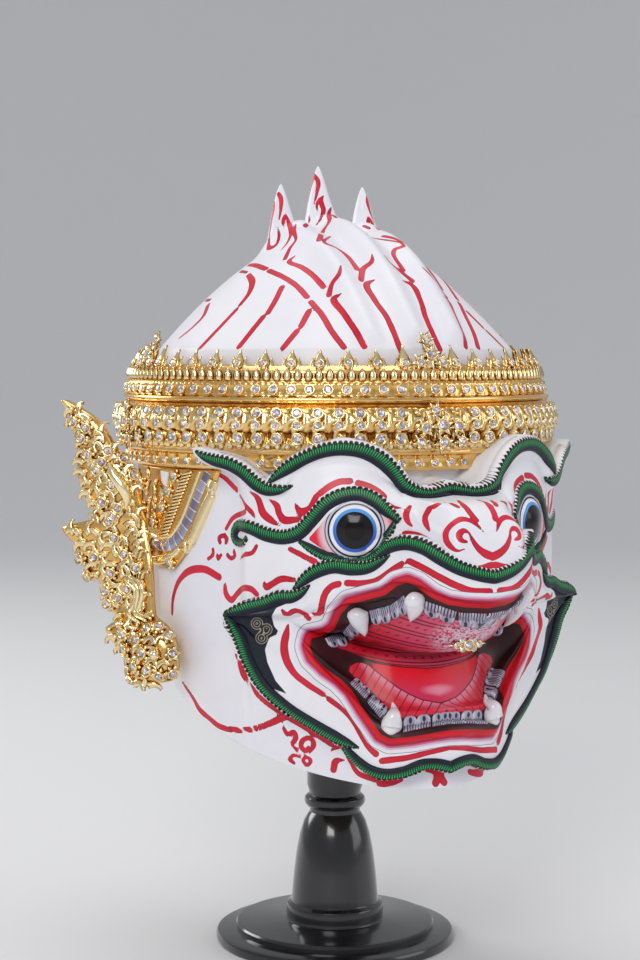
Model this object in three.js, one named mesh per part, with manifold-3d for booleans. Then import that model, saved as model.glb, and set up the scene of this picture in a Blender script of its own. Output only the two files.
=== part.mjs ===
// A full-head dance mask of a white monkey warrior, in painted papier-mache with gilded ornaments,
// resting on a turned black stand.
// Millimetres, +Z up, the face towards -Y, the origin under the centre of the stand's foot.
import * as THREE from "three";
import { mergeVertices } from "three/addons/utils/BufferGeometryUtils.js";
import Module from "manifold-3d";

const wasm = await Module();
wasm.setup();

// Fit and finish
const SEAT_GAP = 0.6; // clearance between a piece and what carries it
const FACET_TOLERANCE = 0.2; // how far facets may be merged out of true

// Stand
const FOOT_RADIUS = 66;
const FOOT_HEIGHT = 6;
const PLATE_RADIUS = 55;
const PLATE_THICKNESS = 4.5;
const DRUM_RADIUS = 27;
const DRUM_HEIGHT = 10;
const COLUMN_FOOT_RADIUS = 24;
const COLUMN_TOP_RADIUS = 14;
const COLUMN_HEIGHT = 50.5;
const NECK_RING_RADIUS = 17;
const NECK_RING_HEIGHT = 7;
const POST_RADIUS = 15.5;
const POST_CAP_DEPTH = 30;
const STAND_SIDES = 20;

// Head shell: heights are above the floor
const WALL = 4;
const DOME_FOOT = 327;
const DOME_RISE = 66;
const DOME_HALF_WIDTH = 96;
const DOME_HALF_LENGTH = 99;
const DOME_POWER = 1.75;
const RIM_FRONT = 108;
const RIM_BACK = 192;
const BARREL_RADIUS = 107;
const HEM_TUCK_HEIGHT = 55;

// Horns of hair on the dome, each at the back of a long crest that runs forward to the gilt bands
const HORN_PROUD = 36; // how far the middle horn's tip stands over the dome
const HORN_BACK = 21.7;
const SIDE_HORN_PROUD = 25;
const SIDE_HORN_BACK = 16.7;
const SIDE_HORN_OFFSET = 25;
const HORNS = [
  { x: 0, y: HORN_BACK, tip: DOME_FOOT + DOME_RISE + HORN_PROUD },
  { x: -SIDE_HORN_OFFSET, y: SIDE_HORN_BACK, tip: DOME_FOOT + DOME_RISE + SIDE_HORN_PROUD },
  { x: SIDE_HORN_OFFSET, y: SIDE_HORN_BACK, tip: DOME_FOOT + DOME_RISE + SIDE_HORN_PROUD },
];
const HORN_RADIUS = 15;
const HORN_HEIGHT = 46;
const CREST_RADIUS = 8;
const CREST_RISE = 6;

// Face: places on it are [degrees from the nose, height], its reliefs are distances from the axis
const MOUTH_CORNER = 37; // degrees from the nose
const MUZZLE_EDGE = 51; // where the raised muzzle plate ends in a flame tip
const BROW_TIP = 59.7; // where the brow ends in a flame tip
const STEP_WIDTH = 1.3; // degrees over which a plate's edge drops to the cheek
const EYE = { angle: 21.5, z: 240, halfAngle: 8, halfHeight: 13, rise: 4 };

// Gilded bands round the head
const CORONET_FOOT = DOME_FOOT - 26.5;
const CORONET_RADIUS = 114.5;
const LEAF_COUNT = 24;
const LEAF_HEIGHT = 9.5;
const LEAF_TALL = 1.55; // the leaf at each quarter, beside the others
const DIADEM_HEIGHT = 33.5;
const DIADEM_FOOT = CORONET_FOOT - DIADEM_HEIGHT;
const DIADEM_RADIUS = 121.5;
const BAND_DEPTH = 9;
const BAND_SIDES = 36;
const BOSS_RADIUS = 11;

// Gilded ear pieces
const EAR_FRONT_ANGLE = 58;
const EAR_BACK_ANGLE = 101;
const EAR_TOP = DIADEM_FOOT - 0.6;
const EAR_BOTTOM = 214;
const EAR_PANEL_THICKNESS = 4.5;
const WING_ROOT_ANGLE = 88; // where the wing leaves the side of the head
const WING_ROOT_RADIUS = 114;
const WING_FLARE = 51; // degrees that the wing stands out from straight back
const WING_THICKNESS = 6;
const PENDANT_THICKNESS = 15;

// Fangs of shell: degrees from the nose, and how far inside the mouth's edge each one starts
const UPPER_OUTER_FANG = { angle: 21.5, inset: 7.5 };
const UPPER_INNER_FANG = { angle: 12, inset: 3.5 };
const LOWER_FANG = { angle: 13, inset: 2.5 };
const FANG_RADIUS = 4.6;
const FANG_LENGTH = 15;

const DOME_ROWS = 6;
const BACK_COLUMNS = 10;
const FACE_COLUMNS = [
  0, 2.5, 5, 7.5, 10, 12.5, 15, 17.5, 20, 23, 26, 29, 32, 35, 37, 39.5, 42, 44.5, 47, 49.5, 51, 52.3, 56,
  59.7, 61, 66,
];

const RAD = Math.PI / 180;
const { clamp, smoothstep, lerp } = THREE.MathUtils;

// A smooth value through [place, value] stations
function through(stations) {
  return (at) => {
    const last = stations.length - 1;
    if (at <= stations[0][0]) return stations[0][1];
    if (at >= stations[last][0]) return stations[last][1];
    const i = stations.findIndex((s, k) => at <= stations[k + 1][0]);
    const [x0, y0] = stations[i];
    const [x1, y1] = stations[i + 1];
    const t = (at - x0) / (x1 - x0);
    return lerp(y0, y1, t * t * (3 - 2 * t) * 0.5 + t * 0.5);
  };
}

// Edges of the brow, the muzzle plate and the mouth, from the nose round to the ear
const browTop = through([
  [0, 263], [3.5, 260.5], [8, 261], [10.5, 264.5], [12.5, 271], [16, 278], [20, 282.5], [24, 284],
  [29, 281.5], [33, 277.5], [37, 272.5], [41, 265], [42.5, 262.5], [44, 265], [47, 271], [51, 275],
  [BROW_TIP, 278.5],
]);
const browFoot = through([
  [0, 256.5], [5.6, 255.5], [9, 256], [11.5, 258.5], [13.5, 264.5], [16, 269], [19, 273.5], [24, 276],
  [28, 275.5], [32.5, 272], [36, 266], [38, 258], [41, 255.5], [44.5, 258], [47, 263.5], [51, 268], [57, 271],
  [BROW_TIP, 275],
]);
const moustacheTop = through([
  [0, 221], [3, 223.5], [6, 227], [8.5, 232], [11, 236.5], [13.5, 238], [16, 235], [18, 230], [20, 226],
  [22.5, 224], [26.5, 225.5], [30.5, 222], [33, 217], [35.5, 210.5], [39, 208.5], [43, 205.5], [47, 203],
  [MUZZLE_EDGE, 199],
]);
const moustacheFoot = through([
  [0, 214], [5, 218.5], [8.5, 224], [11, 229], [14, 231], [17, 226], [19.5, 220], [23, 217.5], [26.5, 217.5],
  [30, 212.5], [33, 206], [37, 202], [42, 199.5], [47, 198], [MUZZLE_EDGE, 196.5],
]);
const mouthTop = through([
  [0, 207], [4, 208], [8, 211], [11, 215], [14, 216], [18.5, 211.5], [24, 208], [27, 203], [31, 199],
  [MOUTH_CORNER, 194.5], [MUZZLE_EDGE, 195.6],
]);
const mouthFoot = through([
  [0, 141], [5, 140.5], [12, 139], [16, 143.5], [22, 156], [29, 170], [34, 182], [MOUTH_CORNER, 191.5],
  [MUZZLE_EDGE, 194.8],
]);
const beardTop = through([
  [0, 125], [6, 128], [10.5, 124], [15, 123], [19.5, 128], [23, 134], [25.5, 140], [31, 146.5], [38, 157],
  [43, 167], [45.5, 177], [47.5, 187], [MUZZLE_EDGE, 194],
]);
const beardFoot = through([
  [0, 117], [5, 120], [10.5, 115.5], [15, 114.5], [19, 119], [23, 126], [26, 132], [31, 138], [38, 147.5],
  [44, 157.5], [46.7, 169], [48.7, 183], [MUZZLE_EDGE, 192.5],
]);

// How far out those edges lie
const browReach = through([
  [0, 131], [5.6, 133], [9, 134], [13, 132], [25, 128], [41, 126], [50, 126.5], [BROW_TIP, 128],
]);
const upperLipReach = through([
  [0, 174], [8.5, 166], [14, 151], [18, 141.5], [23, 134.5], [29, 129], [34, 126], [41, 126.5], [47, 130],
  [MUZZLE_EDGE, 133],
]);
const upperMouthReach = through([
  [0, 171], [8.5, 163], [14, 149], [18, 140], [23, 133], [29, 127], [34, 122.5], [MOUTH_CORNER, 120.5],
  [45, 126], [MUZZLE_EDGE, 131],
]);
const lowerLipReach = through([
  [0, 131], [11, 129], [19, 122], [26, 119.5], [34, 118], [MOUTH_CORNER, 120], [45, 125], [MUZZLE_EDGE, 131],
]);
const beardReach = through([
  [0, 130], [11, 126], [19, 121], [25, 118], [35, 117], [44, 119.5], [48, 124], [MUZZLE_EDGE, 130.5],
]);
const rimReach = through([
  [0, 121], [11, 118], [19, 112], [25, 108], [35, 104], [50, 101.5], [66, 99], [90, 96], [180, 93],
]);
const cheekReach = through([
  [0, 150], [8, 148], [14, 138], [17, 133.5], [21.5, 131], [30, 128], [38, 124.5], [47, 121], [51, 113],
  [56, 109], [66, BARREL_RADIUS + 0.5], [90, BARREL_RADIUS],
]);
const noseReach = through([
  [218, 173], [224, 171.5], [232, 171], [239, 169], [245, 166], [250, 159], [255, 149], [258, 140],
]);
const noseHalfAngle = through([
  [218, 10], [232, 9.5], [240, 9.5], [246, 8], [256, 7],
]);

// From the lower gum over the tongue and up the palate to the upper gum: [share of the mouth's height,
// share of the way from the lower lip's reach to the upper lip's, depth behind the lip]
const MOUTH_HOLLOW = [
  [0.02, 0, 4.5],
  [0.12, 0, 4],
  [0.14, 0, 9],
  [0.3, 0, 14],
  [0.46, 0, 20],
  [0.5, 0, 25],
  [0.56, 0.35, 15],
  [0.64, 0.62, 12],
  [0.77, 0.85, 10],
  [0.88, 1, 8],
  [0.9, 1, 4.5],
  [0.985, 1, 4],
];
const CHEEK_ROWS = [0.15, 0.35, 0.55, 0.75, 0.92]; // shares of the height between moustache and brow
const BAND_ROWS = [0.3, 0.65]; // shares of the height behind the gilt bands

const rimHeight = (angle) => RIM_FRONT + ((RIM_BACK - RIM_FRONT) * (1 - Math.cos(angle * RAD))) / 2;

function domeReach(angle) {
  return 1 / Math.hypot(Math.sin(angle * RAD) / DOME_HALF_WIDTH, Math.cos(angle * RAD) / DOME_HALF_LENGTH);
}

// The side of the head without its raised plates
function bareReach(angle, z) {
  const above = clamp((z - rimHeight(angle)) / HEM_TUCK_HEIGHT, 0, 1);
  const side = lerp(rimReach(angle), Math.min(cheekReach(angle), 112), 1 - (1 - above) ** 2);
  const middle = lerp(side, cheekReach(angle), smoothstep(z, 175, 205));
  return lerp(middle, domeReach(angle), smoothstep(z, 272, DOME_FOOT - 7));
}

// Cheek, eye socket and nose, between the moustache and the brow
function cheekPoint(angle, share) {
  const z = lerp(moustacheTop(angle) + 0.6, browFoot(angle), share);
  const underBrow = smoothstep(share, 0.6, 1) * smoothstep(angle, 8, 14);
  const face = lerp(cheekReach(angle), browReach(angle) - 3, underBrow);
  const width = noseHalfAngle(z);
  const nose = lerp(noseReach(z), face, smoothstep(angle, 0.55 * width, 1.3 * width));
  const fromEye = Math.hypot((angle - EYE.angle) / EYE.halfAngle, (z - EYE.z) / EYE.halfHeight);
  return [z, nose + EYE.rise * Math.exp(-(fromEye ** 2))];
}

// The rows of the face at a direction, each [height, distance from the axis], from rim to dome
function faceRows(signedAngle) {
  const angle = Math.abs(signedAngle);
  const rows = [];
  const onMuzzle = 1 - clamp((angle - MUZZLE_EDGE) / STEP_WIDTH, 0, 1);
  const onBrow = 1 - clamp((angle - BROW_TIP) / STEP_WIDTH, 0, 1);
  const muzzle = (z, reach) => rows.push([z, lerp(bareReach(angle, z), reach, onMuzzle)]);
  rows.push([rimHeight(angle), rimReach(angle)]);
  const beard = [beardFoot(angle), beardTop(angle)];
  rows.push([beard[0] - 0.6, bareReach(angle, beard[0])]);
  muzzle(beard[0], beardReach(angle));
  muzzle(beard[1], beardReach(angle) + 1);
  const low = mouthFoot(angle);
  const high = mouthTop(angle);
  muzzle(lerp(beard[1], low, 0.4), lerp(beardReach(angle), lowerLipReach(angle), 0.5) - 1);
  muzzle(lerp(beard[1], low, 0.75), lowerLipReach(angle) + 1.5 * (1 - smoothstep(angle, 30, MOUTH_CORNER)));
  muzzle(low, lowerLipReach(angle));
  const open = 1 - smoothstep(angle, 22, MOUTH_CORNER);
  for (const [share, forward, depth] of MOUTH_HOLLOW) {
    const lip = lerp(lowerLipReach(angle), upperMouthReach(angle), forward);
    muzzle(lerp(low, high, share), lip - depth * open);
  }
  muzzle(high, upperMouthReach(angle));
  muzzle(lerp(high, moustacheFoot(angle), 0.5), upperLipReach(angle) + 1);
  muzzle(moustacheFoot(angle), upperLipReach(angle) + 0.5);
  muzzle(moustacheTop(angle), upperLipReach(angle));
  for (const share of [0, ...CHEEK_ROWS]) {
    const [z, reach] = cheekPoint(angle, share);
    rows.push([z, lerp(bareReach(angle, z), reach, onBrow)]);
  }
  const foot = browFoot(angle);
  const top = browTop(angle);
  rows.push([foot, lerp(bareReach(angle, foot), browReach(angle) - 1, onBrow)]);
  rows.push([top, lerp(bareReach(angle, top), browReach(angle), onBrow)]);
  for (const share of [0, ...BAND_ROWS, 1]) {
    const z = lerp(top + 0.6, DOME_FOOT, share);
    rows.push([z, bareReach(90, z) + (bareReach(0, DOME_FOOT) - bareReach(90, DOME_FOOT)) * share]);
  }
  const last = rows[rows.length - 1];
  last[1] = domeReach(angle);
  // Away from the face the rows spread out evenly
  const relax = smoothstep(angle, BROW_TIP + STEP_WIDTH, 90);
  return rows.map(([z, reach], i) => {
    const even = lerp(rimHeight(angle), DOME_FOOT, i / (rows.length - 1));
    const height = lerp(z, even, relax);
    return [height, lerp(reach, bareReach(angle, height), smoothstep(relax, 0, 0.2))];
  });
}

// Radius of the painted skin at a direction and height
function skin(angle, z) {
  const rows = faceRows(angle);
  if (z <= rows[0][0]) return rows[0][1];
  for (let i = 1; i < rows.length; i++)
    if (z <= rows[i][0]) {
      const [z0, r0] = rows[i - 1];
      const [z1, r1] = rows[i];
      return lerp(r0, r1, (z - z0) / (z1 - z0));
    }
  return domeReach(angle);
}

// Height of the bare dome over a place in plan
function domeHeight(x, y) {
  const reach = Math.hypot(x / DOME_HALF_WIDTH, y / DOME_HALF_LENGTH);
  return DOME_FOOT + DOME_RISE * (1 - Math.min(1, reach) ** DOME_POWER);
}

// A closed solid from rings of points, the first ring capped and the last drawn to its middle
function solidFromRings(rings) {
  const count = rings[0].length;
  const vertices = rings.flat().flatMap((p) => [p.x, p.y, p.z]);
  const middle = (ring) => ring.reduce((m, p) => m.add(p), new THREE.Vector3()).divideScalar(count);
  const low = middle(rings[0]);
  const high = middle(rings[rings.length - 1]);
  vertices.push(low.x, low.y, low.z, high.x, high.y, high.z);
  const lowIndex = rings.length * count;
  const faces = [];
  for (let j = 0; j < rings.length - 1; j++)
    for (let i = 0; i < count; i++) {
      const a = j * count + i;
      const b = j * count + ((i + 1) % count);
      faces.push(a, b, a + count, b, b + count, a + count);
    }
  for (let i = 0; i < count; i++) {
    const top = (rings.length - 1) * count;
    faces.push(lowIndex, (i + 1) % count, i);
    faces.push(lowIndex + 1, top + i, top + ((i + 1) % count));
  }
  return solid(vertices, faces);
}

// A solid of these faces, turned to point outwards
function solid(vertices, faces) {
  const vertProperties = new Float32Array(vertices);
  const triVerts = new Uint32Array(faces);
  const made = new wasm.Manifold(new wasm.Mesh({ numProp: 3, vertProperties, triVerts }));
  if (made.volume() > 0) return made;
  const turned = triVerts.map((_, i) => faces[i - (i % 3) + [0, 2, 1][i % 3]]);
  return new wasm.Manifold(new wasm.Mesh({ numProp: 3, vertProperties, triVerts: turned }));
}

function solidOf(geometry) {
  const bare = geometry.index ? geometry.toNonIndexed() : geometry.clone();
  bare.deleteAttribute("normal");
  bare.deleteAttribute("uv");
  const merged = mergeVertices(bare, 1e-3);
  return solid(Array.from(merged.attributes.position.array), Array.from(merged.index.array));
}

// A point at a direction round the head, a radius and a height
const around = (angle, radius, z) =>
  new THREE.Vector3(radius * Math.sin(angle * RAD), -radius * Math.cos(angle * RAD), z);

// Directions of the columns of points, closer together round the face
function columnAngles() {
  const rightHalf = FACE_COLUMNS.slice(1).map((a) => -a).reverse();
  const edge = FACE_COLUMNS[FACE_COLUMNS.length - 1];
  const behind = [];
  for (let i = 1; i < BACK_COLUMNS; i++) behind.push(lerp(edge, 360 - edge, i / BACK_COLUMNS));
  return [...rightHalf, ...FACE_COLUMNS, ...behind].map((a) => (a > 180 ? a - 360 : a));
}

// The head as a solid block out to its painted skin
function headBlock() {
  const angles = columnAngles();
  const columns = angles.map((a) => faceRows(a).map(([z, reach]) => around(a, reach, z)));
  const rings = columns[0].map((_, j) => columns.map((column) => column[j]));
  for (let j = 1; j <= DOME_ROWS; j++) {
    const share = (1 - j / (DOME_ROWS + 0.35)) ** 1.1;
    rings.push(
      angles.map((a) => {
        const p = around(a, domeReach(a) * share, 0);
        return new THREE.Vector3(p.x, p.y, domeHeight(p.x, p.y));
      }),
    );
  }
  return solidFromRings(rings);
}

// The room inside, a wall's thickness in from the skin everywhere
const INNER_COLUMNS = 26;
const INNER_ROWS = 13;
const ROOF_SHARES = [0.8, 0.6, 0.4, 0.2]; // rings of the ceiling, as shares of its half-width
const innerDomeHeight = (share) => domeHeight(0, DOME_HALF_LENGTH * share) - WALL * 1.4;

function innerRadius(angle, z) {
  const turn = 360 / INNER_COLUMNS;
  const rise = (DOME_FOOT - RIM_FRONT) / INNER_ROWS;
  let least = Infinity;
  for (const da of [-1, -0.66, -0.33, 0, 0.33, 0.66, 1])
    for (const dz of [-1, -0.75, -0.5, -0.25, 0, 0.25, 0.5, 0.75, 1]) {
      const a = angle + da * turn;
      const wrapped = a > 180 ? a - 360 : a < -180 ? a + 360 : a;
      least = Math.min(least, skin(wrapped, clamp(z + dz * rise, rimHeight(wrapped), DOME_FOOT)));
    }
  return least - WALL;
}

function headRoom() {
  const rings = [];
  const angles = Array.from({ length: INNER_COLUMNS }, (_, i) => (360 * i) / INNER_COLUMNS - 180);
  const top = DOME_FOOT - WALL * 1.4;
  // the neck stays open: the room starts level, below the lowest point of the rim
  rings.push(angles.map((a) => around(a, innerRadius(a, rimHeight(a)), RIM_FRONT - 20)));
  for (let j = 0; j <= INNER_ROWS; j++)
    rings.push(
      angles.map((a) => {
        const z = lerp(rimHeight(a) - 2, top, j / INNER_ROWS);
        const underDome = lerp(2 * BARREL_RADIUS, domeReach(a) - WALL, smoothstep(z, 270, top));
        return around(a, Math.min(innerRadius(a, z), underDome), z);
      }),
    );
  for (const share of ROOF_SHARES)
    rings.push(angles.map((a) => around(a, (domeReach(a) - WALL) * share, innerDomeHeight(share))));
  return solidFromRings(rings);
}

// A tapering leaf or tube of flattened section along a curve, given as [point, radius] stations
function taper(stations, across, flatten, sides = 6, steps = 7) {
  const curve = new THREE.CatmullRomCurve3(stations.map(([p]) => p), false, "centripetal");
  const radius = through(stations.map(([, r], i) => [i / (stations.length - 1), r]));
  const rings = [];
  for (let k = 0; k <= steps; k++) {
    const p = curve.getPoint(k / steps);
    const along = curve.getTangent(k / steps);
    const side = new THREE.Vector3().crossVectors(across, along).normalize();
    const up = new THREE.Vector3().crossVectors(along, side).normalize();
    const r = radius(k / steps);
    rings.push(
      Array.from({ length: sides }, (_, i) => {
        const turn = (2 * Math.PI * i) / sides;
        const place = p.clone().addScaledVector(side, r * Math.cos(turn));
        return place.addScaledVector(up, r * flatten * Math.sin(turn));
      }),
    );
  }
  return solidFromRings(rings);
}

const union = (solids) => solids.reduce((sum, s) => sum.add(s));

// A solid let out sideways, up and down by the clearance, to cut its neighbours back with
function letOut(shape) {
  const g = SEAT_GAP;
  const ways = [[g, 0, 0], [-g, 0, 0], [0, g, 0], [0, -g, 0], [0, 0, g], [0, 0, -g]];
  return union(ways.map((way) => shape.translate(way)));
}

function hornOfHair({ x, y, tip }) {
  const at = (dy, drop) => new THREE.Vector3(x, y + dy, tip - drop);
  return taper(
    [
      [at(-9, HORN_HEIGHT), HORN_RADIUS],
      [at(-3, HORN_HEIGHT * 0.55), HORN_RADIUS * 0.62],
      [at(-0.5, HORN_HEIGHT * 0.25), HORN_RADIUS * 0.34],
      [at(0, 0), 0.6],
    ],
    new THREE.Vector3(1, 0, 0),
    1,
    8,
    6,
  );
}

function crestOfHair({ x, y }) {
  const front = -DOME_HALF_LENGTH * Math.sqrt(1 - (x / DOME_HALF_WIDTH) ** 2) * 0.97;
  const at = (share, sink) => {
    const along = lerp(y - 10, front, share);
    return new THREE.Vector3(x, along, domeHeight(x, along) + CREST_RISE - sink);
  };
  return taper(
    [
      [at(0, CREST_RADIUS * 1.3), CREST_RADIUS * 1.3],
      [at(0.35, CREST_RADIUS), CREST_RADIUS],
      [at(0.7, CREST_RADIUS * 0.9), CREST_RADIUS * 0.9],
      [at(1, CREST_RADIUS * 0.9), CREST_RADIUS * 0.6],
    ],
    new THREE.Vector3(1, 0, 0),
    1,
    8,
    6,
  );
}

function latheSolid(profile, sides) {
  const points = profile.map(([r, z]) => new THREE.Vector2(r, z));
  const turned = new THREE.LatheGeometry(points, sides);
  turned.rotateX(Math.PI / 2);
  return solidOf(turned);
}

// The stand is turned in one length, from its foot to the cap that carries the mask's crown
function displayStand() {
  const plate = FOOT_HEIGHT + PLATE_THICKNESS;
  const drum = plate + DRUM_HEIGHT;
  const column = drum + COLUMN_HEIGHT;
  const ring = column + 3;
  const cap = ROOF_SHARES.slice(1).map((share) => [
    (DOME_HALF_WIDTH - WALL) * share * 0.985,
    innerDomeHeight(share) - SEAT_GAP,
  ]);
  const capFoot = cap[0][1] - POST_CAP_DEPTH;
  const profile = [
    [0, 0],
    [FOOT_RADIUS, 0],
    [FOOT_RADIUS, FOOT_HEIGHT - 3],
    [FOOT_RADIUS - 3, FOOT_HEIGHT],
    [PLATE_RADIUS, FOOT_HEIGHT],
    [PLATE_RADIUS, plate - 1],
    [PLATE_RADIUS - 1.5, plate],
    [DRUM_RADIUS, plate + 0.8],
    [DRUM_RADIUS, drum - 1],
    [DRUM_RADIUS - 1, drum],
    [COLUMN_FOOT_RADIUS, drum + 1.5],
    [COLUMN_FOOT_RADIUS - 2, lerp(drum, column, 0.4)],
    [COLUMN_FOOT_RADIUS - 3.8, lerp(drum, column, 0.72)],
    [COLUMN_FOOT_RADIUS - 6.5, lerp(drum, column, 0.92)],
    [COLUMN_TOP_RADIUS, column],
    [COLUMN_TOP_RADIUS, ring],
    [NECK_RING_RADIUS - 1, ring + 1],
    [NECK_RING_RADIUS, ring + NECK_RING_HEIGHT / 2],
    [NECK_RING_RADIUS - 1, ring + NECK_RING_HEIGHT - 1],
    [POST_RADIUS - 1.5, ring + NECK_RING_HEIGHT],
    [POST_RADIUS, ring + NECK_RING_HEIGHT + 5],
    [POST_RADIUS, capFoot - 20],
    [cap[0][0], capFoot],
    ...cap,
    [0, cap[cap.length - 1][1]],
  ];
  return latheSolid(profile, STAND_SIDES);
}

// Upper gilt band: a gem fillet, a bead row and a crest of pointed leaves, taller at the four quarters
function coronet(block) {
  const foot = CORONET_FOOT;
  const outer = CORONET_RADIUS;
  const inner = outer - BAND_DEPTH;
  const ring = latheSolid(
    [
      [inner, foot],
      [outer, foot],
      [outer + 1, foot + 2.5],
      [outer + 0.6, foot + 8],
      [outer - 2.2, foot + 10],
      [outer - 2.6, foot + 16],
      [outer - 5, foot + 18],
      [outer - 7, foot + 19.5],
      [inner - 3, foot + 19.5],
      [inner - 3, foot + 16.5],
      [inner, foot + 14],
      [inner, foot],
    ],
    BAND_SIDES,
  );
  const leaves = [];
  for (let i = 0; i < LEAF_COUNT; i++) {
    const angle = (360 * i) / LEAF_COUNT;
    const tall = i % (LEAF_COUNT / 4) === 0 ? LEAF_TALL : 1;
    leaves.push(
      taper(
        [
          [around(angle, outer - 7.5, foot + 18), 3.4 * tall],
          [around(angle, outer - 8, foot + 18 + LEAF_HEIGHT * 0.4 * tall), 3 * tall],
          [around(angle, outer - 10, foot + 18 + LEAF_HEIGHT * tall), 0.4],
        ],
        around(angle, 1, 0),
        0.5,
        4,
        2,
      ),
    );
  }
  return union([ring, ...leaves]).subtract(block);
}

// Lower gilt band: two gem rows over a scrolled frieze, with a boss at each quarter
function diadem(block) {
  const foot = DIADEM_FOOT;
  const outer = DIADEM_RADIUS;
  const top = CORONET_FOOT - SEAT_GAP;
  const inner = BARREL_RADIUS + 1.5;
  const ring = latheSolid(
    [
      [inner, foot],
      [outer - 9, foot],
      [outer - 8.5, foot + 6],
      [outer - 7, foot + 7.5],
      [outer - 7, foot + 9.5],
      [outer - 2.5, foot + 11],
      [outer - 1.6, foot + 16.5],
      [outer, foot + 19],
      [outer, foot + 25.5],
      [outer - 3, foot + 28.5],
      [outer - 7, foot + 32],
      [outer - 7, top],
      [inner, top],
      [inner, foot],
    ],
    BAND_SIDES,
  );
  const bosses = [0, 90, 180, 270].map((angle) =>
    taper(
      [
        [around(angle, outer - 1, foot + 9), BOSS_RADIUS * 0.35],
        [around(angle, outer, foot + 18), BOSS_RADIUS],
        [around(angle, outer - 2, foot + 27), BOSS_RADIUS * 0.6],
        [around(angle, outer - 6, top - 0.5), BOSS_RADIUS * 0.2],
      ],
      around(angle, 1, 0),
      0.35,
      6,
      4,
    ),
  );
  return union([ring, ...bosses]).subtract(block);
}

// Gilt panel over the ear, a deep V with a rounded foot
function earPanel(mirror, block) {
  const rows = 9;
  const across = 6;
  const rings = [];
  const mid = (EAR_FRONT_ANGLE + EAR_BACK_ANGLE) / 2 + 2;
  for (let j = 0; j <= rows; j++) {
    const z = lerp(EAR_BOTTOM, EAR_TOP, j / rows);
    const open = Math.pow(clamp((z - EAR_BOTTOM + 0.5) / (EAR_TOP - EAR_BOTTOM), 0, 1), 0.62);
    const front = lerp(mid - 4, EAR_FRONT_ANGLE, open);
    const back = lerp(mid + 4, EAR_BACK_ANGLE, open);
    const steps = Array.from({ length: across + 1 }, (_, i) => lerp(front, back, i / across));
    rings.push([
      ...steps.map((a) => around(mirror * a, BARREL_RADIUS + EAR_PANEL_THICKNESS, z)),
      ...steps.reverse().map((a) => around(mirror * a, BARREL_RADIUS + 1, z)),
    ]);
  }
  return solidFromRings(rings).subtract(block);
}

// A place on the wing: run is along its sheet, outwards past the root and forwards round the cheek before it
function onWing(mirror, run, z, out) {
  const angle = WING_ROOT_ANGLE + Math.min(run, 0) / (WING_ROOT_RADIUS * RAD);
  const place = around(mirror * angle, WING_ROOT_RADIUS, z);
  const flare = WING_FLARE * RAD;
  if (run <= 0) return around(mirror * angle, WING_ROOT_RADIUS + out, z);
  place.x += mirror * (run * Math.sin(flare) + out * Math.cos(flare));
  place.y += run * Math.cos(flare) - out * Math.sin(flare);
  return place;
}

// Outer and inner edge of the wing, [height, run]: a pendant, a lower flame and a tall upper flame
const wingOuterEdge = through([
  [153, -9], [156, 3], [163, 9], [170, 15], [180, 21], [186, 13], [190, 19], [204, 24], [210, 31], [223, 37],
  [233, 45], [239, 26], [248, 32], [263, 36], [274, 36], [279, 37], [293, 41], [301, 45],
]);
const wingInnerEdge = through([
  [153, -16], [156, -27], [165, -34], [175, -33], [185, -24], [189, -13], [215, -10], [230, -5], [245, 0],
  [262, 5], [277, 15], [290, 24], [301, 42],
]);
const WING_ROWS = [
  153, 156, 163, 170, 180, 186, 190, 204, 210, 223, 233, 239, 248, 263, 274, 284, 293, 301,
];

function wing(mirror, cutters) {
  const rings = WING_ROWS.map((z) => {
    const from = wingInnerEdge(z);
    const to = wingOuterEdge(z);
    const thick = lerp(PENDANT_THICKNESS, WING_THICKNESS, smoothstep(z, 178, 192));
    const shares = [0, 0.3, 0.7, 1];
    const swell = (share) => 1 + thick * Math.sqrt(4 * share * (1 - share));
    return [
      ...shares.map((share) => onWing(mirror, lerp(from, to, share), z, swell(share))),
      ...shares.reverse().map((share) => onWing(mirror, lerp(from, to, share), z, -1)),
    ];
  });
  return cutters.reduce((left, cutter) => left.subtract(cutter), solidFromRings(rings));
}

// A fang hooks out over the lip from its socket in the gum
function fang(mirror, seat, down, block) {
  const angle = mirror * seat.angle;
  const z = (down < 0 ? mouthTop(seat.angle) : mouthFoot(seat.angle)) + down * seat.inset;
  const root = skin(seat.angle, z);
  const lean = down * FANG_LENGTH;
  return taper(
    [
      [around(angle, root + 1.5, z), FANG_RADIUS * 0.8],
      [around(angle, root + 5, z + lean * 0.3), FANG_RADIUS],
      [around(angle, root + 6.5, z + lean * 0.75), FANG_RADIUS * 0.7],
      [around(angle * 1.04, root + 6, z + lean), 0.4],
    ],
    around(angle, 1, 0),
    0.9,
    6,
    5,
  ).subtract(block);
}

const JEWEL = { z: 184, width: 11, height: 5, rise: 4 };

function palateJewel(block) {
  const seat = skin(0, JEWEL.z);
  const stations = [
    [new THREE.Vector3(-JEWEL.width, -seat - 1, JEWEL.z), 1],
    [new THREE.Vector3(0, -seat - 2, JEWEL.z + 1), JEWEL.height],
    [new THREE.Vector3(JEWEL.width, -seat - 1, JEWEL.z), 1],
  ];
  return taper(stations, new THREE.Vector3(0, -1, 0), JEWEL.rise / JEWEL.height, 8, 6).subtract(block);
}

const FINISHES = {
  blackLacquer: { color: 0x0b0b10, roughness: 0.25, metalness: 0 },
  whiteGesso: { color: 0xf0eef2, roughness: 0.55, metalness: 0 },
  gilding: { color: 0xd9a93a, roughness: 0.28, metalness: 1 },
  shell: { color: 0xe9e6df, roughness: 0.3, metalness: 0 },
};

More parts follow.
